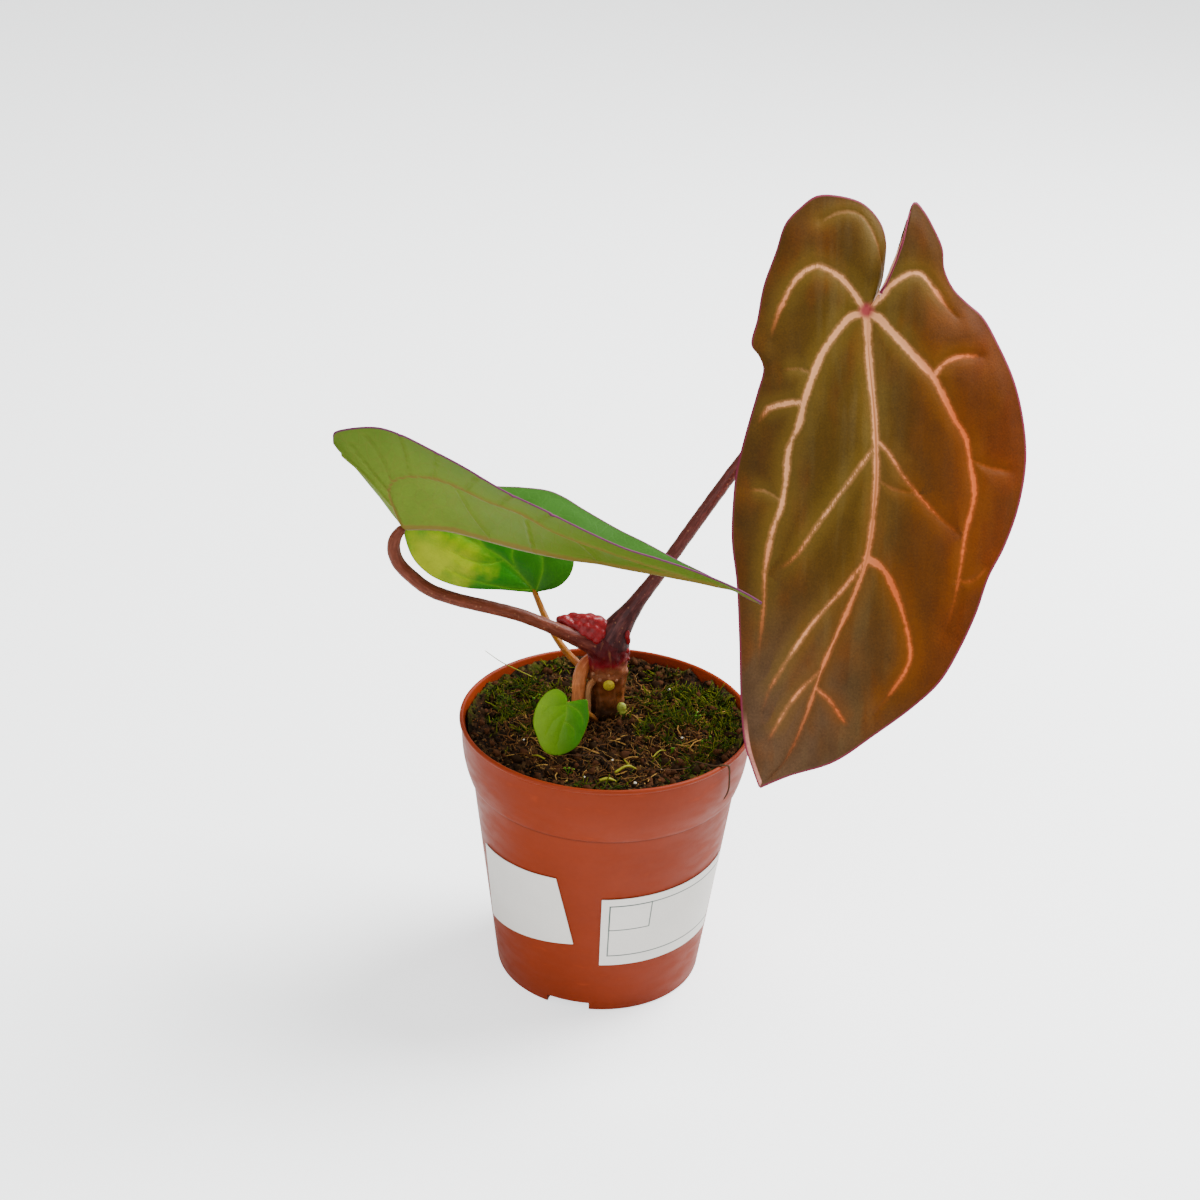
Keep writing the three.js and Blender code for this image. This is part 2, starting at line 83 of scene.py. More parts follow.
def alongPath(path, places):
    # points at these shares of the path's length
    length = pathLength(path)
    wanted = np.asarray(places) * length[-1]
    return np.stack([np.interp(wanted, length, column) for column in path.T], 1)


def smoothStep(low, high, value):
    t = np.clip((value - low) / (high - low), 0, 1)
    return t * t * (3 - 2 * t)


def unit(v):
    return v / np.maximum(np.linalg.norm(v, axis=-1, keepdims=True), 1e-9)


def rotation(degrees, axis):
    return np.array(Matrix.Rotation(math.radians(degrees), 3, axis))


def makeObject(name, verts, faces, material, attributes=None, uv=None, smooth=True):
    mesh = bpy.data.meshes.new(name)
    mesh.from_pydata((np.asarray(verts) * mm).tolist(), [], faces)
    mesh.update()
    for key, values in (attributes or {}).items():
        mesh.attributes.new(key, "FLOAT", "POINT").data.foreach_set("value", np.asarray(values, float))
    if uv is not None:
        corner = np.zeros(len(mesh.loops), int)
        mesh.loops.foreach_get("vertex_index", corner)
        mesh.uv_layers.new(name="leafMap").data.foreach_set("uv", np.asarray(uv, float)[corner].ravel())
    if smooth:
        mesh.polygons.foreach_set("use_smooth", np.ones(len(mesh.polygons), bool))
    if material:
        mesh.materials.append(material)
    piece = bpy.data.objects.new(name, mesh)
    bpy.context.collection.objects.link(piece)
    return piece


def finishPiece(piece, slotName, *nodes):
    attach(piece, "root")
    if nodes:
        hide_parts(*nodes)


def bake(piece):
    # what the modifiers make becomes the piece's own plain mesh
    depsgraph = bpy.context.evaluated_depsgraph_get()
    mesh = bpy.data.meshes.new_from_object(piece.evaluated_get(depsgraph))
    piece.modifiers.clear()
    piece.data = mesh


def tubeShape(points, sides, rings, wobble=0.0, wobbleSize=4.0, seed=1, roundEnd=True):
    # a stalk through points of x, y, z and radius, with how far along and round each vertex is
    path = alongPath(smoothPath(points), np.linspace(0, 1, rings + 1))
    centre, radius = path[:, :3], path[:, 3]
    tangent = unit(np.gradient(centre, axis=0))
    normal = unit(np.cross(tangent[0], [0.3, 0.2, 1.0] if abs(tangent[0][2]) < 0.9 else [1.0, 0, 0]))
    length = pathLength(centre)
    verts, along, around = [], [], []
    for i in range(rings + 1):
        normal = unit(normal - tangent[i] * np.dot(normal, tangent[i]))
        side = np.cross(tangent[i], normal)
        r = radius[i]
        if roundEnd:
            r *= math.sqrt(max(0.02, 1 - max(0.0, 1 - (length[-1] - length[i]) / max(radius[i], 0.01)) ** 2))
        for j in range(sides):
            a = 2 * math.pi * j / sides
            direction = normal * math.cos(a) + side * math.sin(a)
            p = centre[i] + direction * r
            if wobble:
                p = p + direction * wobble * noise.noise(Vector(p / wobbleSize) + Vector((seed, seed, 0)))
            verts.append(p)
            along.append(length[i])
            around.append(j / sides)
    faces = []
    for i in range(rings):
        for j in range(sides):
            a, b = i * sides + j, i * sides + (j + 1) % sides
            faces.append([a, b, b + sides, a + sides])
    faces.append([*range(sides)][::-1])
    faces.append([rings * sides + j for j in range(sides)])
    return np.array(verts), faces, np.array(along), np.array(around)


def ballShape(centre, radius, stretch=(1, 1, 1), level=2):
    shell = bmesh.new()
    bmesh.ops.create_icosphere(shell, subdivisions=level, radius=1)
    verts = np.array([v.co[:] for v in shell.verts]) * radius * np.array(stretch) + np.array(centre)
    faces = [[v.index for v in f.verts] for f in shell.faces]
    shell.free()
    return verts, faces


def joinShapes(shapes):
    verts, faces, start = [], [], 0
    for v, f in shapes:
        verts.append(np.asarray(v))
        faces += [[k + start for k in face] for face in f]
        start += len(v)
    return np.vstack(verts), faces


def sheetFaces(rows, width):
    # faces of two grids of points, one over the other, and of the rim between them
    count = rows * width
    quads = [i * width + j for i in range(rows - 1) for j in range(width - 1)]
    faces = [[q, q + width, q + width + 1, q + 1] for q in quads]
    faces += [[count + q, count + q + 1, count + q + width + 1, count + q + width] for q in quads]
    rim = [*range(width - 1)] + [i * width + width - 1 for i in range(rows - 1)]
    rim += [(rows - 1) * width + j for j in range(width - 1, 0, -1)]
    rim += [i * width for i in range(rows - 1, 0, -1)]
    return faces + [[p, q, q + count, p + count] for p, q in zip(rim, rim[1:] + rim[:1])]


# shaders: plain arithmetic on a wire adds Math nodes

class Wire:
    def __init__(self, tree, socket):
        self.tree, self.socket = tree, socket

    def maths(self, operation, other=0.0):
        return wire(self.tree, "ShaderNodeMath", 0, {0: self, 1: other}, operation=operation)

    def __add__(self, other):
        return self.maths("ADD", other)

    def __sub__(self, other):
        return self.maths("SUBTRACT", other)

    def __mul__(self, other):
        return self.maths("MULTIPLY", other)

    def __abs__(self):
        return self.maths("ABSOLUTE")

    def most(self, other):
        return self.maths("MAXIMUM", other)

    def spread(self, low, high, toLow=0.0, toHigh=1.0):
        # eases from toLow to toHigh while the value goes from low to high
        return wire(self.tree, "ShaderNodeMapRange", 0, {"Value": self, "From Min": low, "From Max": high,
                    "To Min": toLow, "To Max": toHigh}, interpolation_type="SMOOTHSTEP")

    def mix(self, first, second):
        # the wire says how much of the second colour there is
        return wire(self.tree, "ShaderNodeMix", 2, {0: self, 6: first, 7: second}, data_type="RGBA")


def feed(made, inputs):
    for key, value in inputs.items():
        socket = made.inputs[key]
        if isinstance(value, Wire):
            value.tree.links.new(value.socket, socket)
        elif socket.type == "RGBA":
            socket.default_value = (*value, 1.0)
        else:
            socket.default_value = value


def node(tree, kind, inputs, **settings):
    made = tree.nodes.new(kind)
    for key, value in settings.items():
        setattr(made, key, value)
    feed(made, inputs)
    return made


def wire(tree, kind, output, inputs, **settings):
    return Wire(tree, node(tree, kind, inputs, **settings).outputs[output])


def groupInputs(tree):
    return {socket.name: Wire(tree, socket) for socket in tree.nodes.new("NodeGroupInput").outputs}


def attribute(tree, name):
    return wire(tree, "ShaderNodeAttribute", "Fac", {}, attribute_name=name)


def objectPlace(tree):
    return wire(tree, "ShaderNodeTexCoord", "Object", {})


def combine(x, y, z):
    return wire(x.tree, "ShaderNodeCombineXYZ", 0, {0: x, 1: y, 2: z})


def split(place):
    made = node(place.tree, "ShaderNodeSeparateXYZ", {0: place})
    return [Wire(place.tree, socket) for socket in made.outputs]


def stretched(place, scale):
    return wire(place.tree, "ShaderNodeMapping", 0, {"Vector": place, "Scale": scale})


def speckle(place, scale, detail, output="Fac"):
    return wire(place.tree, "ShaderNodeTexNoise", output, {"Vector": place, "Scale": scale, "Detail": detail})


def ramp(factor, stops):
    made = node(factor.tree, "ShaderNodeValToRGB", {0: factor})
    points = made.color_ramp.elements
    while len(points) < len(stops):
        points.new(0.5)
    for point, (place, colour) in zip(points, stops):
        point.position = place
        point.color = (*colour, 1.0)
    return Wire(factor.tree, made.outputs[0])


def bump(height, depth):
    return wire(height.tree, "ShaderNodeBump", 0, {"Height": height, "Distance": depth * mm, "Strength": 1.0})


def newMaterial(name):
    material = bpy.data.materials.new(name)
    material.use_nodes = True
    tree = material.node_tree
    tree.nodes.clear()
    shader = node(tree, "ShaderNodeBsdfPrincipled", {"Specular IOR Level": 0.15})
    feed(tree.nodes.new("ShaderNodeOutputMaterial"), {0: Wire(tree, shader.outputs[0])})
    return material, tree, shader


def makeMottleGroup():
    # soft patches of light and dark that the living parts, the pot and the paper share
    group = bpy.data.node_groups.new("livingMottle", "ShaderNodeTree")
    face = group.interface
    face.new_socket("Colour", in_out="INPUT", socket_type="NodeSocketColor")
    for label, value in (("Patch size", 0.01), ("Strength", 0.3), ("Grain", 0.15)):
        face.new_socket(label, in_out="INPUT", socket_type="NodeSocketFloat").default_value = value
    face.new_socket("Colour", in_out="OUTPUT", socket_type="NodeSocketColor")
    face.new_socket("Height", in_out="OUTPUT", socket_type="NodeSocketFloat")
    come, place = groupInputs(group), objectPlace(group)
    scale = wire(group, "ShaderNodeMath", 0, {0: 1.0, 1: come["Patch size"]}, operation="DIVIDE")
    patches, grain = speckle(place, scale, 4.0), speckle(place, scale * 12.0, 3.0)
    gain = ((patches - 0.5) * come["Strength"] + (grain - 0.5) * come["Grain"]) * 2.0 + 1.0
    tinted = wire(group, "ShaderNodeMix", 2, {0: 1.0, 6: come["Colour"], 7: combine(gain, gain, gain)},
                  data_type="RGBA", blend_type="MULTIPLY")
    feed(group.nodes.new("NodeGroupOutput"), {"Colour": tinted, "Height": patches + grain * 0.4})
    return group


mottleGroup = makeMottleGroup()


def mottled(tree, colour, patchSize, strength, grain):
    made = node(tree, "ShaderNodeGroup", {"Colour": colour, "Patch size": patchSize * mm, "Strength": strength,
                "Grain": grain}, node_tree=mottleGroup)
    return Wire(tree, made.outputs["Colour"]), Wire(tree, made.outputs["Height"])


def plainMaterial(name, colour, rough, patchSize, strength, grain, depth, coat=0.0, gloss=0.15):
    material, tree, shader = newMaterial(name)
    tone, height = mottled(tree, colour, patchSize, strength, grain)
    feed(shader, {"Base Color": tone, "Roughness": rough, "Coat Weight": coat, "Specular IOR Level": gloss,
                  "Normal": bump(height, depth)})
    return material


# leaf blades: midrib and margins are seen square on, and the z of a point is its height over that plane

bladeSizes = {
    "tilt": 63.7,  # degrees by which the blades face the viewer
    "thick": 1.1, "edgeThick": 0.6, "ridge": 0.7, "ridgeWidth": 1.4, "groove": 0.16, "grooveWidth": 1.1,
    "wave": 0.8, "waveSize": 26, "calmWindow": 17, "fullSize": 30, "fullRows": 240, "mapSize": 100,
}

# veins are as the viewer sees them, with half their width at the start and at the end
largeLeaf = {
    "name": "largeLeafBlade", "at": (96, 42.3, 278.1), "rows": 320, "columns": 70,
    "bulge": (2.5, 3), "upper": 1, "swell": 0.85,
    "midrib": [(0, 0, 0), (0.5, -6.5, 0.5), (2, -21, 1), (4, -36.5, 1.5), (5.5, -52.5, 2), (6, -70, 2),
               (3.5, -98, 1), (-3.5, -119, 0), (-11.5, -139, 0), (-18.5, -162, -1), (-25.5, -178, -1),
               (-35, -188.5, 0)],
    "left": [(0.3, 1.2, -0.6), (3.5, 5, -2), (6, 11.5, -3), (7, 19.5, -3), (7, 28, -2), (4.5, 35.5, -2),
             (-2, 42.5, -3), (-11, 45.5, -4), (-20.5, 45.5, -5), (-27, 40.5, -5), (-32.5, 34, -4),
             (-36, 22.5, -3), (-40.5, 8.5, -2), (-42.5, -4.5, -1), (-44.5, -15, 0), (-41.5, -19, 0.4),
             (-39.5, -24, 0.4), (-41.5, -33.5, 0), (-45.5, -50, -2), (-48.5, -64.5, -2), (-49.5, -76, 0),
             (-49.5, -92, 1), (-47, -108.5, 1), (-45, -132, 0), (-43.5, -156.5, 0), (-41.5, -172, 1),
             (-38.5, -180.5, 1), (-35.4, -188.3, 0.2)],
    "right": [(1.2, 0.9, 0.6), (6, 7.5, 2), (9.5, 13.5, 3), (11.5, 20, 4), (14, 29, 4), (15, 37, 3),
              (17.5, 43.5, 1), (21.5, 40, 0), (25.5, 34, -1), (29.5, 26, -2), (30.5, 18, -2), (34.5, 10.5, -3),
              (40.5, 5, -4), (46.5, 0, -4), (53, -10.5, -4), (60, -25, -4), (64.5, -41, -5), (66, -56, -5),
              (63.5, -74.5, -4), (58, -91, -2), (52, -103, 0), (48, -117, -2), (42, -131.5, -2),
              (34.5, -144.5, 0), (25, -154, 1), (9.5, -166.5, -1), (-6, -177.5, 0), (-23, -183.5, 1),
              (-34.6, -188.7, -0.2)],
    "veins": [
        ([(0, 0), (2, -21), (4, -36.5), (5.5, -52.5), (6, -70), (3.5, -98), (-3.5, -119), (-11.5, -139),
          (-18.5, -162), (-25.5, -178), (-34, -188)], 1.35, 0.35),
        ([(-1, 0.5), (-6, 8), (-11, 13), (-16, 16), (-20, 17), (-24, 15), (-28, 11), (-33, 1), (-36, -8),
          (-37, -13)], 1.0, 0.35),
        ([(-0.5, -1), (-6, -2.5), (-12, -10), (-17, -18), (-20, -26), (-23, -36), (-25, -46), (-28, -54),
          (-30, -75), (-34, -89), (-36, -103), (-36, -117), (-37, -132), (-37, -142)], 1.2, 0.3),
        ([(-23, -37), (-32, -38), (-37, -40), (-41, -46)], 0.75, 0.4),
        ([(1, -1), (5, -3), (11, -9), (20, -18), (27, -25), (31, -32), (36, -41), (41, -49), (43, -58),
          (45, -70), (42, -86), (39, -110), (36, -125)], 1.3, 0.25),
        ([(27, -25), (31, -20), (36, -17), (46, -16)], 0.75, 0.35),
        ([(0.5, 0.5), (4, 4), (9, 10), (13, 13), (17, 15), (21, 15), (26, 10), (31, 4), (36, -1)], 0.95, 0.35),
        ([(4.5, -54), (-5, -68), (-17, -86), (-26, -99), (-34, -104)], 0.4, 0.05),
        ([(6, -51), (11, -56), (17, -65), (30, -79), (40, -87)], 0.5, 0.05),
        ([(2.5, -99), (-5, -109), (-18, -125), (-30, -145), (-33, -151), (-35, -159)], 0.5, 0.1),
        ([(3.5, -97), (10, -101), (14, -108), (18, -117), (22, -134), (20, -141), (15, -149), (9, -158)],
         1.15, 0.1),
        ([(-12, -141), (-20, -149), (-25, -156), (-33, -171)], 0.35, 0.05),
        ([(-14, -149), (-9, -153), (-4, -160), (-1, -164)], 0.45, 0.1),
        ([(43, -57), (52, -60), (61, -61)], -0.34, -0.42),
        ([(6, -66), (14, -70), (24, -71)], -0.36, -0.42),
        ([(-18.6, 35), (-10, 39), (-3.5, 38), (2, 30), (6, 17)], -0.36, -0.42),
        ([(-19, -26), (-26, -24), (-33, -25)], -0.36, -0.42),
        ([(-30, -76), (-38, -72), (-44, -72)], -0.36, -0.42),
        ([(39, -105), (46, -104), (52, -98)], -0.2, -0.3),
    ],
    "curl": {"from": 0.012, "to": 0.135, "width": 7.0, "radius": 2.2},
}

foldedLeaf = {
    "name": "foldedLeafBlade", "at": (-82.7, 2, 196.1), "rows": 240, "columns": 44,
    "bulge": (2, -1.5), "upper": 1,
    "midrib": [(0, 0, 0), (14.5, 0, 1), (30.5, -3, 3), (46.5, -7, 5), (62, -9.5, 8), (78, -11, 10),
               (97.5, -14.5, 13), (116.5, -17, 16), (130, -20, 18), (140.5, -25, 19)],
    "left": [(-0.5, 0.9, 0.6), (-3.5, 5, 3), (-10.5, 13.5, 12), (-19, 23.5, 22), (-24.5, 29, 27),
             (-26, 31.5, 28), (-25, 34, 29), (-20.5, 35.5, 30), (-9, 36.5, 31), (0.5, 34, 33), (12.5, 28.5, 35),
             (26, 22, 38), (41.5, 13.5, 40), (56.5, 7, 41), (72, 0, 40), (87, -6, 37), (100, -9.5, 33),
             (114, -13.5, 28), (130.5, -19.5, 22), (140.7, -24.6, 19.4)],
    "right": [(-0.7, 0.6, -0.5), (-4, 5, -3), (-7, 10.5, -8), (-11, 16.5, -14), (-12.5, 22.5, -20),
              (-9.5, 26.5, -25), (3.5, 27.5, -28), (19.5, 23.5, -30), (32, 19, -30), (44.5, 18.5, -28),
              (56, 17.5, -26), (62.5, 15, -23), (70, 10.5, -18), (78, 6, -13), (85.5, 2, -9), (95, -2.5, -3),
              (107.5, -9, 5), (122.5, -16, 14), (140.1, -25.3, 18.6)],
    "veins": [
        ([(0, 0), (17, 0.4), (35, -3.4), (51, -6.9), (66.5, -9.6), (86, -12.2), (105, -15), (124, -18.5),
          (138, -24)], 0.9, 0.3),
        ([(0, 0.5), (-2.6, 6.8), (-4.6, 13), (-3.3, 16.8), (0.6, 18.8), (9.4, 19.1), (21.4, 16.2), (33.4, 10.8),
          (47.1, 6.1), (60.3, -0.2), (77.6, -5.7), (94.6, -10.8), (112.7, -15.6)], 0.3, 0.0),
        ([(-3.3, 16.8), (-7.6, 26.2), (-13, 33.5)], -0.2, -0.35),
        ([(-4.6, 13), (-11.7, 21.2), (-18.5, 29.5)], -0.2, -0.35),
        ([(-4, 8.5), (-11.7, 17.3), (-21.7, 26.2)], -0.2, -0.35),
        ([(3.5, 19.3), (2.4, 26.4), (0.3, 34.1)], -0.2, -0.35),
        ([(12.5, 18.9), (14.8, 24.8), (15, 28)], -0.25, -0.35),
        ([(25.6, 14.6), (31, 18.5), (33, 19)], -0.25, -0.35),
        ([(38.9, 9.4), (45, 12.2), (48, 12)], -0.25, -0.4),
        ([(52.7, 3.6), (59.6, 5.6), (64, 4.2)], -0.3, -0.4),
        ([(21.4, 16.2), (27.2, 6.8), (34.9, -2.9)], -0.3, -0.25),
        ([(48.8, 5.5), (50.3, -0.9), (51.7, -6.7)], -0.3, -0.25),
        ([(68.2, -2.6), (73.4, -6.6), (77.7, -10.7)], -0.3, -0.3),
    ],
}

backLeaf = {
    "name": "backLeafBlade", "at": (-31.9, 50, 146.2), "rows": 150, "columns": 34,
    "bulge": (1.5, 1.5), "upper": -1,
    "midrib": [(0, 0, 0), (-7.5, 6, 1), (-15, 11.5, 1), (-24, 18, 0), (-30.5, 22.5, -1), (-41.5, 29, -3),
               (-52.5, 34.5, -6)],
    "left": [(-0.8, 0, 0), (-5, 0, 1), (-14.5, 0.5, 2), (-27.5, 0.5, 2), (-36, 2, 1), (-44.5, 5.5, -1),
             (-51.5, 11.5, -3), (-55, 18, -4), (-56.5, 24.5, -5), (-53, 34.3, -6)],
    "right": [(0.6, 0.8, 0), (5.5, 1, 1), (10.5, 3, 1), (14.5, 7.5, 0), (16, 13.5, -1), (14, 21.5, -3),
              (6.5, 28.5, -4), (-3.5, 33.5, -5), (-16.5, 37.5, -6), (-33.5, 39.5, -6), (-45, 39, -6),
              (-52.2, 35, -6)],
    "veins": [
        ([(0, 0), (-6.5, 7.1), (-13.1, 12.9), (-21.8, 18), (-30.1, 21.5), (-39, 26), (-50, 33)], 0.6, 0.2),
        ([(0.3, 0.2), (2, 5), (3, 11), (1, 20), (-5, 28)], 0.4, 0.15),
        ([(-0.8, 0.9), (-8, 0.9), (-16, 2), (-26, 4), (-38, 9)], 0.35, 0.15),
        ([(-13.1, 12.9), (-20, 11), (-28, 12.3), (-36, 16)], 0.3, 0.15),
        ([(-6.5, 7.1), (-10, 14), (-10, 22), (-17, 31)], 0.3, 0.15),
        ([(-21.8, 18), (-28, 26), (-36, 33)], 0.3, 0.15),
    ],
}

smallLeaf = {
    "name": "smallLeafBlade", "at": (-16, -17, 130.3), "rows": 110, "columns": 26, "bulge": (1, 1), "upper": 1,
    "midrib": [(0, 0, 0), (-1, -3.5, 0.6), (-1.5, -7.5, 1), (-2.5, -12, 1), (-3, -17, 1), (-3, -20.5, 1)],
    "left": [(-0.4, 0.7, 0), (0, 2.2, 0), (-2, 4.5, 0), (-4.5, 5.5, 0), (-7.5, 4.5, 0), (-10, 2, 0),
             (-12, -1.5, 0), (-13, -5.5, 0), (-13, -9.5, 0), (-11.5, -13.5, 0.5), (-10, -17, 1), (-7.5, -20, 1),
             (-3.5, -20.9, 1)],
    "right": [(0.8, 0.3, 0), (3.5, 1, 0), (5.5, 1.5, 0), (8, 1.5, 0), (8.5, -1.5, 0), (9, -4.5, 0),
              (8.5, -8, 0), (7, -12.5, 0.5), (5, -16.5, 1), (2, -19, 1), (-2.6, -21, 1)],
    "veins": [
        ([(0, 0), (0, -4.5), (-1.6, -10), (-3.4, -16.5)], 0.3, 0.12),
        ([(0, -0.5), (-3, -1.2), (-6.5, -1.8), (-9.5, -5)], 0.2, 0.1),
        ([(0, -0.5), (3.5, -2), (6.3, -5), (7, -10)], 0.2, 0.1),
        ([(-0.1, -3.5), (-5, -7.5), (-7.9, -13)], 0.2, 0.1),
        ([(-0.8, -7), (3, -10), (3.5, -14)], 0.18, 0.1),
    ],
}


def bladeGrid(leaf):
    # rows of points from the left margin over the midrib to the right margin
    u = np.linspace(0, 1, leaf["rows"] + 1)
    v = np.linspace(0, 1, leaf["columns"] + 1)[None, :, None]
    centre = alongPath(smoothPath(leaf["midrib"]), u ** 1.6)
    window = bladeSizes["calmWindow"]
    halves = []
    for key, bulge in zip(("left", "right"), leaf["bulge"]):
        edge = alongPath(smoothPath(leaf[key]), u)
        # kinks of the margin fade out quickly towards the midrib
        padded = np.pad(edge, ((window // 2, window // 2), (0, 0)), "edge")
        calm = np.stack([np.convolve(column, np.ones(window) / window, "valid") for column in padded.T], 1)
        calm = calm + (edge - calm) * (1 - np.clip(np.minimum(u, 1 - u) * 16, 0, 1))[:, None]
        half = centre[:, None] * (1 - v) + calm[:, None] * v + (edge - calm)[:, None] * v ** 6
        reach = np.linalg.norm(edge - centre, axis=1)
        full = np.minimum(1, reach / bladeSizes["fullSize"])[:, None]
        half[..., 2] += bulge * full * 4 * v[..., 0] * (1 - v[..., 0])
        if key == "right" and "curl" in leaf:
            half = curlEdge(half, u, reach, leaf["curl"])
        halves.append(half)
    return np.concatenate([halves[0][:, ::-1], halves[1][:, 1:]], axis=1)


def curlEdge(half, u, reach, curl):
    # the edge rolls over towards the viewer along one stretch
    size = curl["width"] * smoothStep(curl["from"], curl["from"] + 0.03, u)
    size = size * (1 - smoothStep(curl["to"] - 0.05, curl["to"], u))
    out = half.copy()
    steps = half.shape[1] - 1
    for i in range(len(u)):
        if size[i] < 0.3:
            continue
        away = unit(half[i, -1] - half[i, 0])
        gap = (1 - np.arange(steps + 1) / steps) * reach[i]
        bent = gap < size[i]
        turn = (size[i] - gap[bent])[:, None] / curl["radius"]
        roll = np.sin(turn) * away + (1 - np.cos(turn)) * np.array([0, 0, 1])
        out[i, bent] = half[i, -1] - away * size[i] + curl["radius"] * roll
    return out


def gapTo(points, line):
    # least distance from each point to a polyline, and how far along it that is (0 to 1)
    best = np.full(len(points), 1e9)
    place = np.zeros(len(points))
    steps = np.linalg.norm(np.diff(line, axis=0), axis=1)
    total = max(steps.sum(), 1e-6)
    done = 0.0
    for a, b, step in zip(line[:-1], line[1:], steps):
        d = b - a
        t = np.clip(((points - a) @ d) / max(d @ d, 1e-9), 0, 1)
        gap = np.linalg.norm(points - a - t[:, None] * d, axis=1)
        nearer = gap < best
        best = np.where(nearer, gap, best)
        place = np.where(nearer, (done + t * step) / total, place)
        done += step
    return best, place


def bladeVeins(leaf, grid):
    # for every vertex: distance from the nearest vein's edge, distance in half widths, place along the vein
    flat = grid.reshape(-1, 3) * (1, 1, 0)
    edge, near, end = np.full(len(flat), 99.0), np.full(len(flat), 99.0), np.zeros(len(flat))
    for points, first, last in leaf["veins"]:
        gap, place = gapTo(flat, smoothPath([(x, y, 0) for x, y in points], 6))
        half = first + (last - first) * place ** 0.8
        end = np.where(gap - half < edge, place, end)
        edge = np.minimum(edge, gap - half)
        near = np.minimum(near, gap / np.maximum(half, 0.25))
    return [values.reshape(grid.shape[:2]) for values in (edge, near, end)]


def makeBlade(leaf, material):
    grid = bladeGrid(leaf)
    rows, width = grid.shape[:2]
    middle, size = (width - 1) // 2, bladeSizes
    veinEdge, veinNear, veinEnd = bladeVeins(leaf, grid)
    normal = unit(np.cross(unit(np.gradient(grid, axis=0)), unit(np.gradient(grid, axis=1))))
    isLeft = np.arange(width)[None, :] < middle
    v = np.abs(np.arange(width) - middle)[None, :] / middle
    reach = [np.linalg.norm(grid[:, side] - grid[:, middle], axis=1)[:, None] for side in (0, -1)]
    marginGap = (1 - v) * np.where(isLeft, *reach)
    u = np.repeat(np.linspace(0, 1, rows)[:, None], width, axis=1)
    ends = np.clip(np.minimum(u, 1 - u) * 30, 0, 1)
    # the blade swells between its veins and is a little wavy near the margin
    swell = leaf.get("swell", 0.5) * (1 - np.exp(-np.clip(veinEdge, 0, None) / 4)) * smoothStep(0, 8, marginGap)
    seed = leaf["rows"] * 0.01
    shift = Vector((seed * 7.3, seed * 3.1, seed * 5.7))
    ripple = np.array([noise.noise(Vector(p) / size["waveSize"] + shift) for p in grid.reshape(-1, 3)])
    wave = ripple.reshape(rows, width) * size["wave"] * smoothStep(0.35, 0.8, v)
    wave = wave * (1 - 0.75 * smoothStep(0.8, 1, v))
    lift = (leaf["upper"] * swell + wave) * ends * min(1, leaf["rows"] / size["fullRows"])
    shape = grid + normal * lift[..., None]
    thick = size["thick"] * (1 - v) + size["edgeThick"] * v
    beside = np.clip(veinNear, 0, 9)
    ridge = size["ridge"] * np.exp(-(beside / size["ridgeWidth"]) ** 2) * ends
    groove = size["groove"] * np.exp(-(beside / size["grooveWidth"]) ** 2) * ends
    above, below = (-groove, ridge) if leaf["upper"] > 0 else (ridge, -groove)
    top = shape + normal * (thick / 2 + above)[..., None]
    low = shape - normal * (thick / 2 + below)[..., None]
    verts = np.concatenate([top.reshape(-1, 3), low.reshape(-1, 3)]) @ rotation(size["tilt"], "X").T
    verts = np.clip(verts + np.array(leaf["at"]), np.array(cadBox[0]) / mm, np.array(cadBox[1]) / mm)
    values = {"veinEdge": veinEdge, "veinEnd": veinEnd, "marginGap": marginGap, "alongLeaf": u,
              "acrossLeaf": np.broadcast_to(np.where(isLeft, -v, v), (rows, width)),
              "leafX": grid[..., 0], "leafY": grid[..., 1]}
    attributes = {key: np.tile(value.ravel(), 2) for key, value in values.items()}
    attributes["underside"] = np.repeat([0.0, 1.0] if leaf["upper"] > 0 else [1.0, 0.0], rows * width)
    uv = np.tile(grid.reshape(-1, 3)[:, :2] / size["mapSize"], (2, 1))
    return makeObject(leaf["name"], verts, sheetFaces(rows, width), material, attributes, uv)


def veinNetwork(tree, cellSize):
    # fine mesh of small veins over the blade, 1 on a vein
    place = wire(tree, "ShaderNodeUVMap", 0, {}, uv_map="leafMap")
    stir = speckle(place, 9.0, 3.0, "Color")
    stir = wire(tree, "ShaderNodeVectorMath", 0, {0: stir, 3: 0.06}, operation="SCALE")
    moved = wire(tree, "ShaderNodeVectorMath", 0, {0: place, 1: stir}, operation="ADD")
    cells = wire(tree, "ShaderNodeTexVoronoi", "Distance",
                 {"Vector": moved, "Scale": bladeSizes["mapSize"] / cellSize}, feature="DISTANCE_TO_EDGE")
    return cells.spread(0.0, 0.09, 1.0, 0.0)


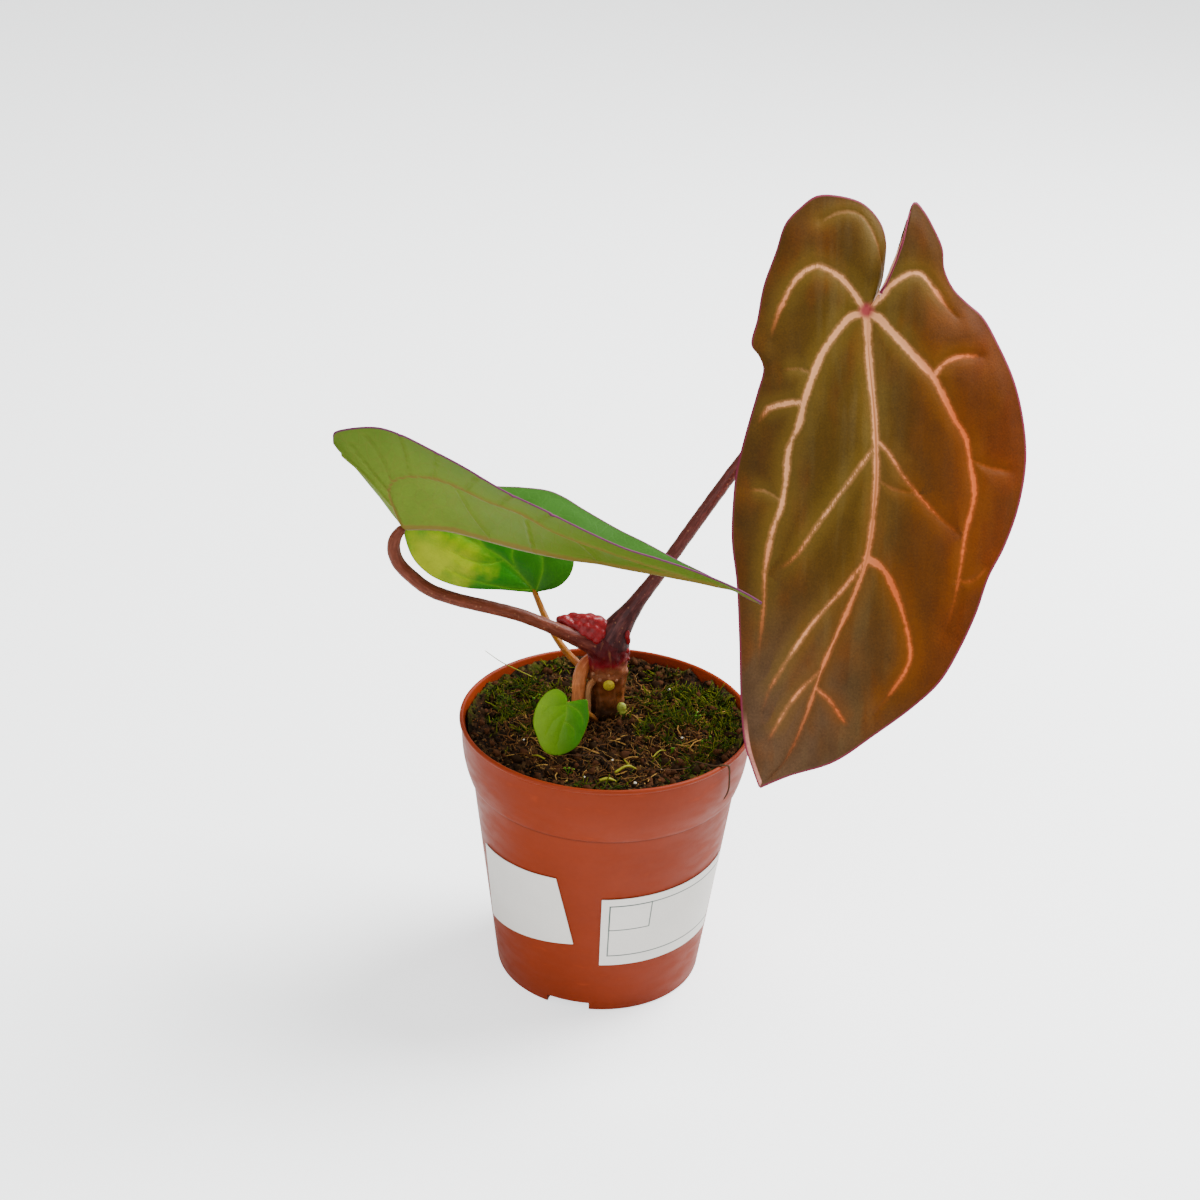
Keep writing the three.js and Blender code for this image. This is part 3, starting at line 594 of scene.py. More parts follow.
def leafMaterial(name, look, paint):
    material, tree, shader = newMaterial(name)
    x, y, across, veinEnd, margin, under, edge = (attribute(tree, key) for key in (
        "leafX", "leafY", "acrossLeaf", "veinEnd", "marginGap", "underside", "veinEdge"))
    place, turnsWarm = objectPlace(tree), "veinFar" in look
    # the vein's edge is frayed
    edge = edge + ((speckle(place, 700.0, 4.0) - 0.5) * look["fray"]
                   + (speckle(place, 110.0, 2.0) - 0.5) * (look["fray"] * 1.3))
    ground = paint(x, y, across, margin)
    ground, height = mottled(tree, ground, look["patch"], look["patchStrength"], look["grain"])
    net = veinNetwork(tree, look["cell"])
    ground = (net * look["netStrength"]).mix(ground, look["netColour"])
    fading = veinEnd.spread(0.72, 1.0, 1.0, 0.0)
    veinTone, glowTone = look["veinColour"], look["glowColour"]
    if turnsWarm:  # towards the right, and darker between the veins
        far = (x - y * 0.35).spread(12.0, 55.0)
        glowTone = far.mix(glowTone, look["glowFar"])
        ground = edge.spread(2.0, 11.0, 0.0, 0.32).mix(ground, look["between"])
    glow = edge.spread(0.0, look["glowReach"], look["glowStrength"], 0.0) * fading
    ground = glow.mix(ground, glowTone)
    halo = edge.spread(0.0, look["veinSoft"] * 2.6, look["veinStrength"] * 0.25, 0.0)
    vein = halo.most(edge.spread(-0.3, look["veinSoft"], look["veinStrength"], 0.0)) * fading
    if turnsWarm:  # also towards a vein's end, with a dark line along the midrib
        veinTone = far.most(veinEnd.spread(0.45, 1.0, 0.0, 0.85)).mix(veinTone, look["veinFar"])
        core = abs(across).spread(0.004, 0.012, 0.65, 0.0) * y.spread(-125.0, -70.0)
        veinTone = core.mix(veinTone, look["veinCore"])
    upper = vein.mix(ground, veinTone)
    if "joint" in look:  # a coloured spot where the stalk joins
        centre = (x * x + y * y).maths("SQRT")
        upper = centre.spread(1.2, 4.2, 0.9, 0.0).mix(upper, look["joint"])
    lower, _ = mottled(tree, look["underColour"], look["patch"], 0.2, 0.2)
    if "underFar" in look:
        away = x.spread(5.0, 100.0).most(across.spread(-1.0, -0.5, 0.75, 0.0))
        lower = away.mix(lower, look["underFar"])
    lower = (net * look["underNet"]).mix(lower, look["underVein"])
    lower = edge.spread(0.4, 5.0, 0.3, 0.0).mix(lower, look["underGlow"])
    lower = edge.spread(-0.1, 0.6, 0.75, 0.0).mix(lower, look["underVein"])
    rim = margin.spread(look["marginWidth"] * 0.5, look["marginWidth"] * 1.6, 1.0, 0.0)
    relief = net * look["netDepth"] + height * 0.5 + edge.spread(-0.4, 3.5, -0.8, 0.0) * fading
    colour = rim.mix(under.mix(upper, lower), look["marginColour"])
    feed(shader, {"Base Color": colour, "Roughness": look["rough"], "Specular IOR Level": look["gloss"],
                  "Normal": bump(relief, look["depth"])})
    return material


largeTones = {
    "left": (0.066, 0.029, 0.002), "right": (0.096, 0.0175, 0.0), "green": (0.074, 0.043, 0.002),
    "dull": (0.078, 0.041, 0.021), "lobes": (0.066, 0.024, 0.003), "cloud": (0.105, 0.027, 0.0005),
    # the first tone below is painted sheen for the streak along the midrib
    "paintedSheen": (0.115, 0.085, 0.03), "rolled": (0.55, 0.22, 0.17),
}


def largePaint(x, y, across, margin):
    # bronze green on the left, orange brown on the right, duller towards the lower left
    tones = largeTones
    base = (x + y * -0.1).spread(8.0, 62.0).mix(tones["left"], tones["right"])
    green = abs(x + 8.0).spread(6.0, 32.0, 1.0, 0.0) * y.spread(-130.0, -60.0)
    base = (green * 0.55).mix(base, tones["green"])
    dull = y.spread(-165.0, -95.0, 1.0, 0.0) * x.spread(-20.0, 22.0, 1.0, 0.0)
    base = (dull * 0.85).mix(base, tones["dull"])
    base = (y.spread(12.0, 40.0) * 0.6).mix(base, tones["lobes"])
    # orange brown clouds, and a painted sheen: a pale greyish streak along the midrib
    cloud = speckle(combine(x, y * 0.45, 0.0), 0.055, 3.0)
    base = cloud.spread(0.48, 0.66, 0.0, 0.55).mix(base, tones["cloud"])
    paintedSheen = speckle(combine(x, y * 0.12, 3.0), 0.2, 4.0).spread(0.42, 0.66)
    middle = abs(x + 4.0).spread(4.0, 30.0, 1.0, 0.15) * y.spread(-172.0, -90.0, 0.55, 1.0)
    base = (paintedSheen * middle * 0.26).mix(base, tones["paintedSheen"])
    # a pale rolled edge near the tip
    tip = y.spread(-172.0, -158.0, 1.0, 0.0) * across.spread(-0.5, -0.2, 1.0, 0.0)
    return (margin.spread(1.9, 2.5, 1.0, 0.0) * tip).mix(base, tones["rolled"])


def foldedPaint(x, y, across, margin):
    return across.spread(0.1, 0.9).mix((0.026, 0.085, 0.006), (0.024, 0.088, 0.006))


def backPaint(x, y, across, margin):
    # green with a yellow patch over the lower middle; the patch is partly the young leaf's own colour and
    # partly painted light shining through the blade
    dx, dy = x + 43.0, y - 11.0
    gap = (dx * dx + dy * dy * 2.0).maths("SQRT") + speckle(objectPlace(x.tree), 120.0, 5.0) * 30.0
    base = x.spread(-40.0, 12.0).mix((0.005, 0.135, 0.0), (0.014, 0.09, 0.001))
    return gap.spread(20.0, 44.0, 1.0, 0.0).mix(base, (0.26, 0.31, 0.0))


def smallPaint(x, y, across, margin):
    # bright yellow green on the left to green on the right: partly the young leaf's own colour, partly painted
    # light shining through the blade
    return x.spread(-12.0, 8.0).mix((0.13, 0.25, 0.0), (0.02, 0.125, 0.0))


largeLook = {
    "patch": 9, "patchStrength": 0.3, "grain": 0.4, "fray": 1.3, "rough": 0.6, "gloss": 0.08, "depth": 0.3,
    "cell": 4.5, "netStrength": 0.0, "netColour": (0.16, 0.07, 0.012), "netDepth": 0.0,
    "glowReach": 7.5, "glowStrength": 0.5, "glowColour": (0.115, 0.068, 0.008), "glowFar": (0.13, 0.034, 0.001),
    "veinSoft": 0.55, "veinStrength": 0.95, "veinColour": (0.62, 0.27, 0.12), "veinFar": (0.50, 0.095, 0.02),
    "veinCore": (0.26, 0.075, 0.015), "between": (0.03, 0.010, 0.001), "joint": (0.24, 0.018, 0.035),
    "underColour": (0.55, 0.26, 0.18), "underGlow": (0.55, 0.26, 0.18), "underNet": 0.25,
    "underVein": (0.62, 0.35, 0.28), "marginWidth": 0.7, "marginColour": (0.16, 0.02, 0.045),
}
foldedLook = {
    "patch": 12, "patchStrength": 0.12, "grain": 0.1, "fray": 0.5, "rough": 0.5, "gloss": 0.08, "depth": 0.2,
    "cell": 5.0, "netStrength": 0.1, "netColour": (0.05, 0.15, 0.02), "netDepth": -0.12,
    "glowReach": 3.0, "glowStrength": 0.25, "glowColour": (0.05, 0.15, 0.015),
    "veinSoft": 0.35, "veinStrength": 0.6, "veinColour": (0.08, 0.19, 0.03),
    "underColour": (0.102, 0.162, 0.013), "underFar": (0.060, 0.112, 0.009), "underGlow": (0.108, 0.15, 0.014),
    "underNet": 0.13, "underVein": (0.15, 0.085, 0.018),
    "marginWidth": 0.55, "marginColour": (0.10, 0.02, 0.06),
}
backLook = {
    "patch": 8, "patchStrength": 0.2, "grain": 0.12, "fray": 0.35, "rough": 0.42, "gloss": 0.1, "depth": 0.2,
    "cell": 3.5, "netStrength": 0.08, "netColour": (0.05, 0.17, 0.002), "netDepth": -0.15,
    "glowReach": 2.0, "glowStrength": 0.2, "glowColour": (0.05, 0.18, 0.002),
    "veinSoft": 0.3, "veinStrength": 0.5, "veinColour": (0.10, 0.24, 0.004),
    "underColour": (0.12, 0.22, 0.02), "underGlow": (0.12, 0.22, 0.02), "underNet": 0.2,
    "underVein": (0.18, 0.28, 0.04), "marginWidth": 0.3, "marginColour": (0.08, 0.12, 0.004),
}
smallLook = dict(backLook, patch=5, cell=2.2, veinColour=(0.16, 0.27, 0.01), netStrength=0.05, glowReach=1.0,
                 veinStrength=0.35, marginWidth=0.2, marginColour=(0.07, 0.14, 0.001))

for leaf, look, paint, slotName, cadNode in (
        (largeLeaf, largeLook, largePaint, "leaf_large", "leaf_large"),
        (foldedLeaf, foldedLook, foldedPaint, "leaf_folded", "leaf_folded"),
        (backLeaf, backLook, backPaint, "young_leaf", "leaf_back"),
        (smallLeaf, smallLook, smallPaint, "young_leaf", "leaf_small")):
    finishPiece(makeBlade(leaf, leafMaterial(leaf["name"] + "Finish", look, paint)), slotName, cadNode)
print("blades done")


# petioles, side roots and stem: points are x, y, z and radius, and the colour turns from low to high

stalks = {
    "largePetiole": {
        "points": [(0.6, 16.7, 137, 7.2), (1.4, 16.8, 141.4, 7.3), (2.6, 16.9, 145.6, 6.4),
                   (4.8, 17, 149.8, 5.3), (8, 17.4, 154.8, 4.1), (11.9, 18, 160.9, 3.3),
                   (19.6, 19.5, 172.2, 2.8), (34.6, 23, 195.6, 2.7), (47.7, 27, 215.2, 2.6),
                   (60, 31.5, 231.7, 2.6), (72, 36.5, 248, 2.6), (84, 42, 263, 2.5), (92.5, 46.8, 273, 2.4),
                   (95.6, 46.6, 276.4, 2.3), (96, 43.6, 277.5, 2.2)],
        "slot": "large_petiole", "node": "large_petiole",
        "low": (0.030, 0.0045, 0.005), "high": (0.082, 0.016, 0.012), "from": 10, "to": 52,
    },
    "foldedPetiole": {
        "points": [(1.5, 15.6, 135.8, 6.2), (-3.0, 15.0, 138.6, 5.6), (-7.5, 14.6, 141.4, 4.6),
                   (-13.9, 12.8, 144.6, 3.5), (-21.7, 11, 148.9, 2.8), (-36.3, 8, 156.2, 2.7),
                   (-49.6, 6, 160.5, 2.7), (-62.3, 4, 164.4, 2.7), (-72.2, 3, 168.5, 2.7),
                   (-79.7, 2, 174.9, 2.7), (-84.8, 2, 180.8, 2.7), (-86.5, 2, 187.3, 2.6),
                   (-85.4, 1.8, 192, 2.3), (-83.6, 1.9, 194.8, 1.9), (-82.9, 1.9, 196.6, 1.6)],
        "slot": "folded_petiole", "node": "folded_petiole",
        "low": (0.045, 0.002, 0.004), "high": (0.10, 0.021, 0.008), "from": 5, "to": 38,
    },
    "backPetiole": {
        "points": [(-4, 19, 121, 1.8), (-9.5, 22, 123.7, 1.7), (-12.9, 25, 126.2, 1.6), (-18.2, 31, 129, 1.5),
                   (-23.6, 39, 133.1, 1.5), (-28.2, 46, 138.9, 1.4), (-31.6, 49.8, 145.3, 1.2),
                   (-32.6, 50.9, 147.6, 1.1)],
        "slot": "young_petiole", "node": "back_petiole",
        "low": (0.15, 0.03, 0.003), "high": (0.19, 0.06, 0.001), "from": 5, "to": 26,
    },
    "smallPetiole": {
        "points": [(-3, 12, 104, 1.5), (-5.5, 6, 111, 1.4), (-9, -2, 118, 1.3), (-13, -10, 125, 1.2),
                   (-15.8, -15.8, 129.5, 1.0)],
        "slot": "young_petiole", "node": "small_petiole",
        "low": (0.14, 0.04, 0.01), "high": (0.18, 0.08, 0.01), "from": 5, "to": 26,
    },
    "sideRoot": {
        "points": [(-5.5, 17.5, 133.8, 2.4), (-8.3, 16, 132.2, 2.6), (-10.7, 13, 129.2, 2.8),
                   (-11.6, 10.5, 125, 2.8), (-11.6, 9, 117.5, 2.9), (-11.8, 8.6, 108, 2.8), (-14, 8, 98, 2.6)],
        "slot": "root", "node": "side_root", "wobble": 0.5,
        "low": (0.24, 0.04, 0.014), "high": (0.38, 0.12, 0.035), "from": 2, "to": 12,
    },
    "thinRoot": {
        "points": [(-4.5, 12.4, 126.5, 1.3), (-7.4, 8.7, 124, 1.2), (-7.6, 7.2, 117, 1.2),
                   (-7.6, 6.2, 109, 1.2), (-8, 2, 98, 1)],
        "slot": "root", "node": "thin_root", "wobble": 0.3,
        "low": (0.26, 0.09, 0.03), "high": (0.30, 0.15, 0.06), "from": 2, "to": 12,
    },
}


def stalkMaterial(name, stalk):
    # fine lengthwise streaks and pale specks
    material, tree, shader = newMaterial(name)
    along, turn = attribute(tree, "alongStalk"), attribute(tree, "aroundStalk") * (2 * math.pi)
    base = along.spread(stalk["from"], stalk["to"]).mix(stalk["low"], stalk["high"])
    streaks = speckle(combine(turn.maths("COSINE"), turn.maths("SINE"), along * 0.06), 3.5, 5.0)
    streakTone = tuple(min(1, c * 2.2 + 0.02) for c in stalk["high"])
    base = streaks.spread(0.42, 0.68, 0.0, 0.3).mix(base, streakTone)
    specks = wire(tree, "ShaderNodeTexVoronoi", "Distance", {"Vector": objectPlace(tree), "Scale": 420.0})
    base = specks.spread(0.12, 0.2, 0.35, 0.0).mix(base, (0.30, 0.13, 0.06))
    tone, height = mottled(tree, base, 5, 0.3, 0.2)
    feed(shader, {"Base Color": tone, "Roughness": 0.45, "Normal": bump(streaks + height * 0.4, 0.25)})
    return material


for name, stalk in stalks.items():
    points = stalk["points"]
    rings = int(30 + 1.2 * sum(math.dist(a[:3], b[:3]) for a, b in zip(points, points[1:])))
    verts, faces, along, around = tubeShape(points, 28, rings, stalk.get("wobble", 0.12), 3.0, len(name))
    piece = makeObject(name, verts, faces, stalkMaterial(name + "Finish", stalk),
                       {"alongStalk": along, "aroundStalk": around})
    finishPiece(piece, stalk["slot"], stalk["node"])

stem = {
    "points": [(0.6, 16.8, 92, 5), (0.4, 16.7, 100, 6.8), (0.2, 16.6, 110, 7.2), (0.2, 16.6, 119, 7.0),
               (0.2, 16.6, 124, 7.4), (0, 16.6, 127, 8.3), (-0.2, 16.6, 129, 8.0), (-0.3, 16.6, 131, 8.0),
               (-0.3, 16.6, 135, 8.5), (0, 16.6, 140, 8.3), (0.8, 16.6, 144, 7.2), (1.4, 16.6, 146.5, 4.6),
               (1.6, 16.6, 147.3, 1.6)],
    "rings": 110, "sides": 96, "lump": 0.9, "lumpSize": 3.2, "seed": 3,
    "bands": [(0.0, (0.03, 0.012, 0.004)), (0.18, (0.15, 0.045, 0.010)), (0.40, (0.12, 0.03, 0.007)),
              (0.50, (0.19, 0.06, 0.022)), (0.66, (0.12, 0.002, 0.005)), (0.80, (0.06, 0.0015, 0.003)),
              (1.0, (0.034, 0.006, 0.007))],
    "bandsFrom": 108, "bandsTo": 150, "wander": 16,
}


def stemMaterial():
    material, tree, shader = newMaterial("stemFinish")
    place = objectPlace(tree)
    height = split(place)[2] + (speckle(place, 130.0, 5.0) - 0.5) * (stem["wander"] * mm)
    base = ramp(height.spread(stem["bandsFrom"] * mm, stem["bandsTo"] * mm), stem["bands"])
    streaks = speckle(stretched(place, (1.0, 1.0, 0.25)), 500.0, 4.0)
    base = streaks.spread(0.52, 0.7, 0.0, 0.45).mix(base, (0.26, 0.10, 0.04))
    tone, relief = mottled(tree, base, 3, 0.5, 0.3)
    feed(shader, {"Base Color": tone, "Roughness": 0.42, "Specular IOR Level": 0.1,
                  "Normal": bump(streaks + relief, 0.5)})
    return material


verts, faces, _, _ = tubeShape(stem["points"], stem["sides"], stem["rings"], stem["lump"], stem["lumpSize"],
                               stem["seed"])
finishPiece(makeObject("stemBody", verts, faces, stemMaterial()), "stem", "stem")


def fuseBalls(name, balls, material, voxel, smoothing=4):
    # overlapping balls melt into one knobbly skin
    piece = makeObject(name, *joinShapes([ballShape(b[:3], *b[3:]) for b in balls]), material)
    remesh = piece.modifiers.new("melt", "REMESH")
    remesh.mode, remesh.voxel_size, remesh.use_smooth_shade = "VOXEL", voxel * mm, True
    soften = piece.modifiers.new("soften", "SMOOTH")
    soften.factor, soften.iterations = 0.5, smoothing
    bake(piece)
    return piece


# centre, radius and stretch of each ball
crown = {
    "initials": [
        (-20.5, 15.5, 151, 1.8), (-18.4, 15.9, 150.6, 2.6), (-16.4, 14.5, 149.8, 2.3), (-15, 17.5, 150.4, 3.2),
        (-12.9, 14.3, 149, 2.6), (-11.6, 16.7, 150.2, 3.4), (-9.4, 13.9, 148.4, 2.9), (-8.2, 16.9, 150.3, 3.5),
        (-6.0, 13.7, 147.6, 3.0), (-4.8, 16.5, 149.6, 3.5), (-3.4, 13.5, 146.3, 2.7), (-2.2, 16.3, 148.2, 3.1),
        (-7.6, 12.1, 146.0, 2.2), (-10.8, 12.7, 147.0, 2.1), (-5.0, 11.7, 144.2, 2.1), (-9.8, 15.5, 151.6, 2.1),
        (-6.6, 15.1, 151.0, 2.2), (-13.4, 15.9, 151.6, 1.8), (-3.6, 14.7, 149.3, 1.9)],
    "collar": [(7.4, 12.4, 146.6, 1.5, (0.8, 0.8, 1.6)), (7.8, 13.2, 143.8, 1.4, (0.8, 0.8, 1.5)),
               (7.6, 13.4, 139.0, 1.2), (7.8, 15.0, 134.4, 1.1)],
    "ring": [(8.4 * math.sin(a), 16.6 - 8.2 * math.cos(a), 128.3 + 1.6 * math.sin(23 * a),
              0.6 + 0.35 * math.cos(31 * a)) for a in (-0.8, -0.52, -0.38, -0.1, 0.05, 0.31, 0.44, 0.72)],
    "bud": [(6.2, 9.6, 114.4, 2.1, (1, 0.85, 1.15)), (6.5, 9.2, 112.6, 1.5)],
    "scar": [(0.6, 8.4, 125.2, 2.5, (1, 0.34, 1)), (0.6, 7.9, 125.2, 1.7, (1, 0.3, 1))],
}
initialsFinish = plainMaterial("rootInitialFinish", (0.155, 0.005, 0.007), 0.36, 4, 0.7, 0.3, 0.3, 0.05)
ringFinish = plainMaterial("paleRingFinish", (0.24, 0.10, 0.05), 0.5, 1.5, 0.6, 0.4, 0.2)
budFinish = plainMaterial("budFinish", (0.22, 0.25, 0.03), 0.45, 2, 0.4, 0.2, 0.1)
scarFinish = plainMaterial("scarFinish", (0.42, 0.32, 0.02), 0.6, 0.9, 0.9, 0.7, 0.5)
finishPiece(fuseBalls("rootInitialCluster", crown["initials"], initialsFinish, 0.3, 34), "root_initials",
            "root_initials")
finishPiece(fuseBalls("collarKnobs", crown["collar"], initialsFinish, 0.25), "root_initials")
finishPiece(fuseBalls("paleRingKnobs", crown["ring"], ringFinish, 0.2), "stem")
finishPiece(fuseBalls("baseBud", crown["bud"], budFinish, 0.2), "bud", "bud")
finishPiece(fuseBalls("petioleScar", crown["scar"], scarFinish, 0.15), "scar", "petiole_scar")
print("stem done")


# pot

pot = {
    "height": 116, "base": 43, "step": 90, "underCollar": 54.3, "collarLow": 55.5, "collarHigh": 59, "bead": 60,
    "wall": 1.3, "floor": 5.0, "notchAngles": (-16, 104, 224), "notchWidth": 18, "notchHeight": 3.6,
    "notchStart": 22, "drainRadius": 4, "drainAt": 32, "drainSides": 32, "segments": 240, "stepShadeAt": 89.4,
    "colour": (0.185, 0.0195, 0.0016), "soiled": (0.03, 0.013, 0.006), "scuffed": (0.38, 0.05, 0.012),
    # painted shade for the dark line under the collar's step
    "stepShade": (0.06, 0.008, 0.001),
}


def potFinishMaterial():
    material, tree, shader = newMaterial("terracottaPlastic")
    place = objectPlace(tree)
    x, y, z = split(place)
    tone, _ = mottled(tree, pot["colour"], 22, 0.12, 0.08)
    # soil marks inside the rim, scuffs, and a painted shade line under the collar's step
    radius = (x * x + y * y).maths("SQRT")
    band = z.spread(0.106, 0.108) * z.spread(0.110, 0.1145, 1.0, 0.0)
    inside = radius.spread(0.0574, 0.0581, 1.0, 0.0) * band
    soiled = inside * speckle(place, 260.0, 6.0).spread(0.42, 0.62)
    tone = (soiled * 0.8).mix(tone, pot["soiled"])
    scuff = speckle(stretched(place, (1.0, 1.0, 3.0)), 90.0, 8.0)
    tone = scuff.spread(0.62, 0.8, 0.0, 0.25).mix(tone, pot["scuffed"])
    # painted shade: a dark line just under the collar's step
    stepShade = abs(z - pot["stepShadeAt"] * mm).spread(0.0003, 0.0011, 0.55, 0.0) * radius.spread(0.0535, 0.0538)
    feed(shader, {"Base Color": stepShade.mix(tone, pot["stepShade"]), "Roughness": scuff.spread(0.3, 0.75, 0.42, 0.58),
                  "Specular IOR Level": 0.14, "Normal": bump(speckle(place, 1500.0, 2.0), 0.03)})
    return material


def potProfile():
    # radius and height, from the middle of the base up the outside and down the inside
    h, base, step, wall = pot["height"], pot["base"], pot["step"], pot["wall"]
    under, low, high = pot["underCollar"], pot["collarLow"], pot["collarHigh"]
    outer = [(0, 0), (base - 0.8, 0), (base - 0.2, 0.25), (base, 0.9)]
    outer += [(base + (under - base) * t, 0.9 + (step - 1.5) * t) for t in np.linspace(0.1, 1, 10)]
    outer += [(under + 0.1, step - 0.2), (low - 0.25, step - 0.15), (low, step + 0.15)]
    # the collar bulges out above the step
    outer += [(low + (high - low) * (1 - (1 - t) ** 2.6), step + 0.3 + (h - 2.4 - step) * t)
              for t in np.linspace(0.06, 1, 14)]
    outer += [(high + 0.35, h - 2.0)]
    lip = [(pot["bead"] - 0.95 + 0.95 * math.cos(a), h - 1.0 + math.sin(a))
           for a in np.radians(np.arange(-60, 181, 30))]
    inner = [(high - wall, h - 2.2), (low - wall, step + 1.4), (under - wall, step),
             (base - wall + 0.6, pot["floor"]), (0, pot["floor"])]
    return outer + lip + inner


def latheShape(profile, segments):
    verts, faces, n = [], [], len(profile)
    for i in range(segments):
        a = 2 * math.pi * i / segments
        k = (i + 1) % segments
        verts += [(r * math.sin(a), -r * math.cos(a), z) for r, z in profile]
        faces += [[i * n + j, k * n + j, k * n + j + 1, i * n + j + 1] for j in range(n - 1)]
    return verts, faces


def prism(name, outline, low, high, angle):
    # an upright block over the outline, turned about the pot's axis
    n = len(outline)
    corners = np.array([(x, y, z) for z in (low, high) for x, y in outline]) @ rotation(angle, "Z").T
    faces = [[*range(n)][::-1], [*range(n, 2 * n)]]
    faces += [[j, (j + 1) % n, n + (j + 1) % n, n + j] for j in range(n)]
    return makeObject(name, corners, faces, None, smooth=False)


def makePot():
    piece = makeObject("potShell", *latheShape(potProfile(), pot["segments"]), potFinishMaterial())
    shell = bmesh.new()
    shell.from_mesh(piece.data)
    bmesh.ops.remove_doubles(shell, verts=shell.verts, dist=1e-6)
    bmesh.ops.recalc_face_normals(shell, faces=shell.faces)
    shell.to_mesh(piece.data)
    shell.free()
    half, near, far = pot["notchWidth"] / 2, pot["notchStart"], pot["bead"]
    drain = pot["drainRadius"]
    channel = [(-half, -far), (half, -far), (half, -near), (-half, -near)]
    turns = np.linspace(0, 2 * math.pi, pot["drainSides"], endpoint=False)
    ring = [(drain * math.cos(a), drain * math.sin(a) - pot["drainAt"]) for a in turns]
    cutters = []
    for angle in pot["notchAngles"]:
        cutters += [prism("notchCutter", channel, -5, pot["notchHeight"], angle),
                    prism("drainCutter", ring, -5, 20, angle)]
    for cutter in cutters:
        cut = piece.modifiers.new("cut", "BOOLEAN")
        cut.operation, cut.solver, cut.object = "DIFFERENCE", "EXACT", cutter
    bake(piece)
    for cutter in cutters:
        bpy.data.objects.remove(cutter)
    piece.data.set_sharp_from_angle(angle=math.radians(38))
    finishPiece(piece, "pot", "pot")


makePot()
print("pot done")


# labels: thin paper on the wall, corners as degrees round the pot and height

labels = {
    "labelLeft": {"node": "label_left", "corners": ((-70.8, 27.5), (-12.3, 35.4), (-20.1, 68.0), (-66.9, 65.2)),
                  "frames": ()},
    "labelRight": {"node": "label_right", "corners": ((0.8, 25.4), (70.0, 26.2), (73.3, 61.8), (0.9, 60.0)),
                   "frames": ((3.2, 70, 5.0, 31.0, 0.5), (3.2, 19.5, 18.5, 31.0, 0.45))},
}
paper = {
    "colour": (0.70, 0.68, 0.64), "line": (0.06, 0.09, 0.08), "low": 0.3, "high": 0.6, "rows": 9, "columns": 49,
    "wallRadius": 49, "height": 34.6,
}


def labelMaterial(name, frames):
    material, tree, shader = newMaterial(name)
    tone, height = mottled(tree, paper["colour"], 14, 0.05, 0.04)
    across, up = attribute(tree, "acrossLabel"), attribute(tree, "upLabel")
    for left, right, low, high, width in frames:
        # thin lines of a plain frame, in millimetres on the paper
        dx = abs(across - (left + right) / 2) - (right - left) / 2
        dy = abs(up - (low + high) / 2) - (high - low) / 2
        line = abs(dx.most(dy)).spread(width * 0.35, width * 0.75, 1.0, 0.0)
        tone = (line * 0.9).mix(tone, paper["line"])
    feed(shader, {"Base Color": tone, "Roughness": 0.6, "Normal": bump(height, 0.05)})
    return material


def makeLabel(name, label):
    (a0, z0), (a1, z1), (a2, z2), (a3, z3) = label["corners"]
    rows, columns = paper["rows"], paper["columns"]
    verts, across, up = [], [], []
    for lift in (paper["low"], paper["high"]):
        for v in np.linspace(0, 1, rows):
            for u in np.linspace(0, 1, columns):
                angle = math.radians((a0 + (a1 - a0) * u) * (1 - v) + (a3 + (a2 - a3) * u) * v)
                z = (z0 + (z1 - z0) * u) * (1 - v) + (z3 + (z2 - z3) * u) * v
                r = pot["base"] + (pot["underCollar"] - pot["base"]) * z / pot["step"] + lift
                verts.append((r * math.sin(angle), -r * math.cos(angle), z))
                across.append(math.radians((a1 - a0) * u) * paper["wallRadius"])
                up.append(v * paper["height"])
    piece = makeObject(name, verts, sheetFaces(rows, columns), labelMaterial(name + "Paper", label["frames"]),
                       {"acrossLabel": across, "upLabel": up}, smooth=False)
    finishPiece(piece, "label", label["node"])


for name, label in labels.items():
    makeLabel(name, label)
print("labels done")


# potting mix

soil = {
    "top": 110, "radius": 56.6, "rings": 130, "segments": 300, "low": 70, "lowRadius": 51, "highest": 115.6,
    "reach": 57,
    "crumbs": [(0.0, (0.003, 0.002, 0.0012)), (0.40, (0.010, 0.005, 0.002)), (0.70, (0.035, 0.014, 0.005)),
               (0.93, (0.06, 0.03, 0.01)), (1.0, (0.12, 0.07, 0.025))],
    "wet": (0.008, 0.005, 0.004), "mossy": (0.045, 0.052, 0.005),
}


def mossAmount(x, y):
    # moss grows at the back and on the right, against the rim
    angle = math.degrees(math.atan2(x, -y))
    far = math.hypot(x, y) / soil["reach"]
    right = math.exp(-((angle - 112) / 46) ** 2)
    left = math.exp(-(((angle + 118 + 180) % 360 - 180) / 40) ** 2)
    front = 0.3 * math.exp(-((angle - 20) / 60) ** 2)
    patch = 0.5 + 1.1 * noise.noise(Vector((x / 11, y / 11, 4)))
    amount = (right + 0.85 * left + front) * (0.15 + 0.85 * far) * patch * 2.6
    return float(np.clip((amount - 0.33) * 1.6, 0, 1))


def soilRelief(x, y):
    # long waves rising to the rim, then lumps of three sizes, moss cushions and crumbs
    far = math.hypot(x, y) / soil["reach"]
    z = soil["top"] + 0.7 * math.sin(x * 0.21 + 1.3) * math.cos(y * 0.17 - 0.4)
    z += 0.45 * math.sin(x * 0.43 - y * 0.31) + 1.1 * far * far + 2.5 * smoothStep(0.84, 1, far) - 0.4
    spot = Vector((x, y, 0))
    lump = noise.noise(spot / 11) * 1.8 + noise.noise(spot / 4.6 + Vector((5, 5, 5))) * 1.7
    lump += noise.noise(spot / 1.6 + Vector((9, 2, 7))) * 0.7
    lump += mossAmount(x, y) * (1.2 + 1.8 * noise.noise(spot / 5 + Vector((2, 6, 1))))
    crumb = abs(noise.noise(spot / 2.4 + Vector((1, 8, 3)))) * 2.0
    return min(z + lump + crumb - 0.9, soil["highest"])


def onSoil(x, y, lift=0.0):
    return (x, y, soilRelief(x, y) + lift)


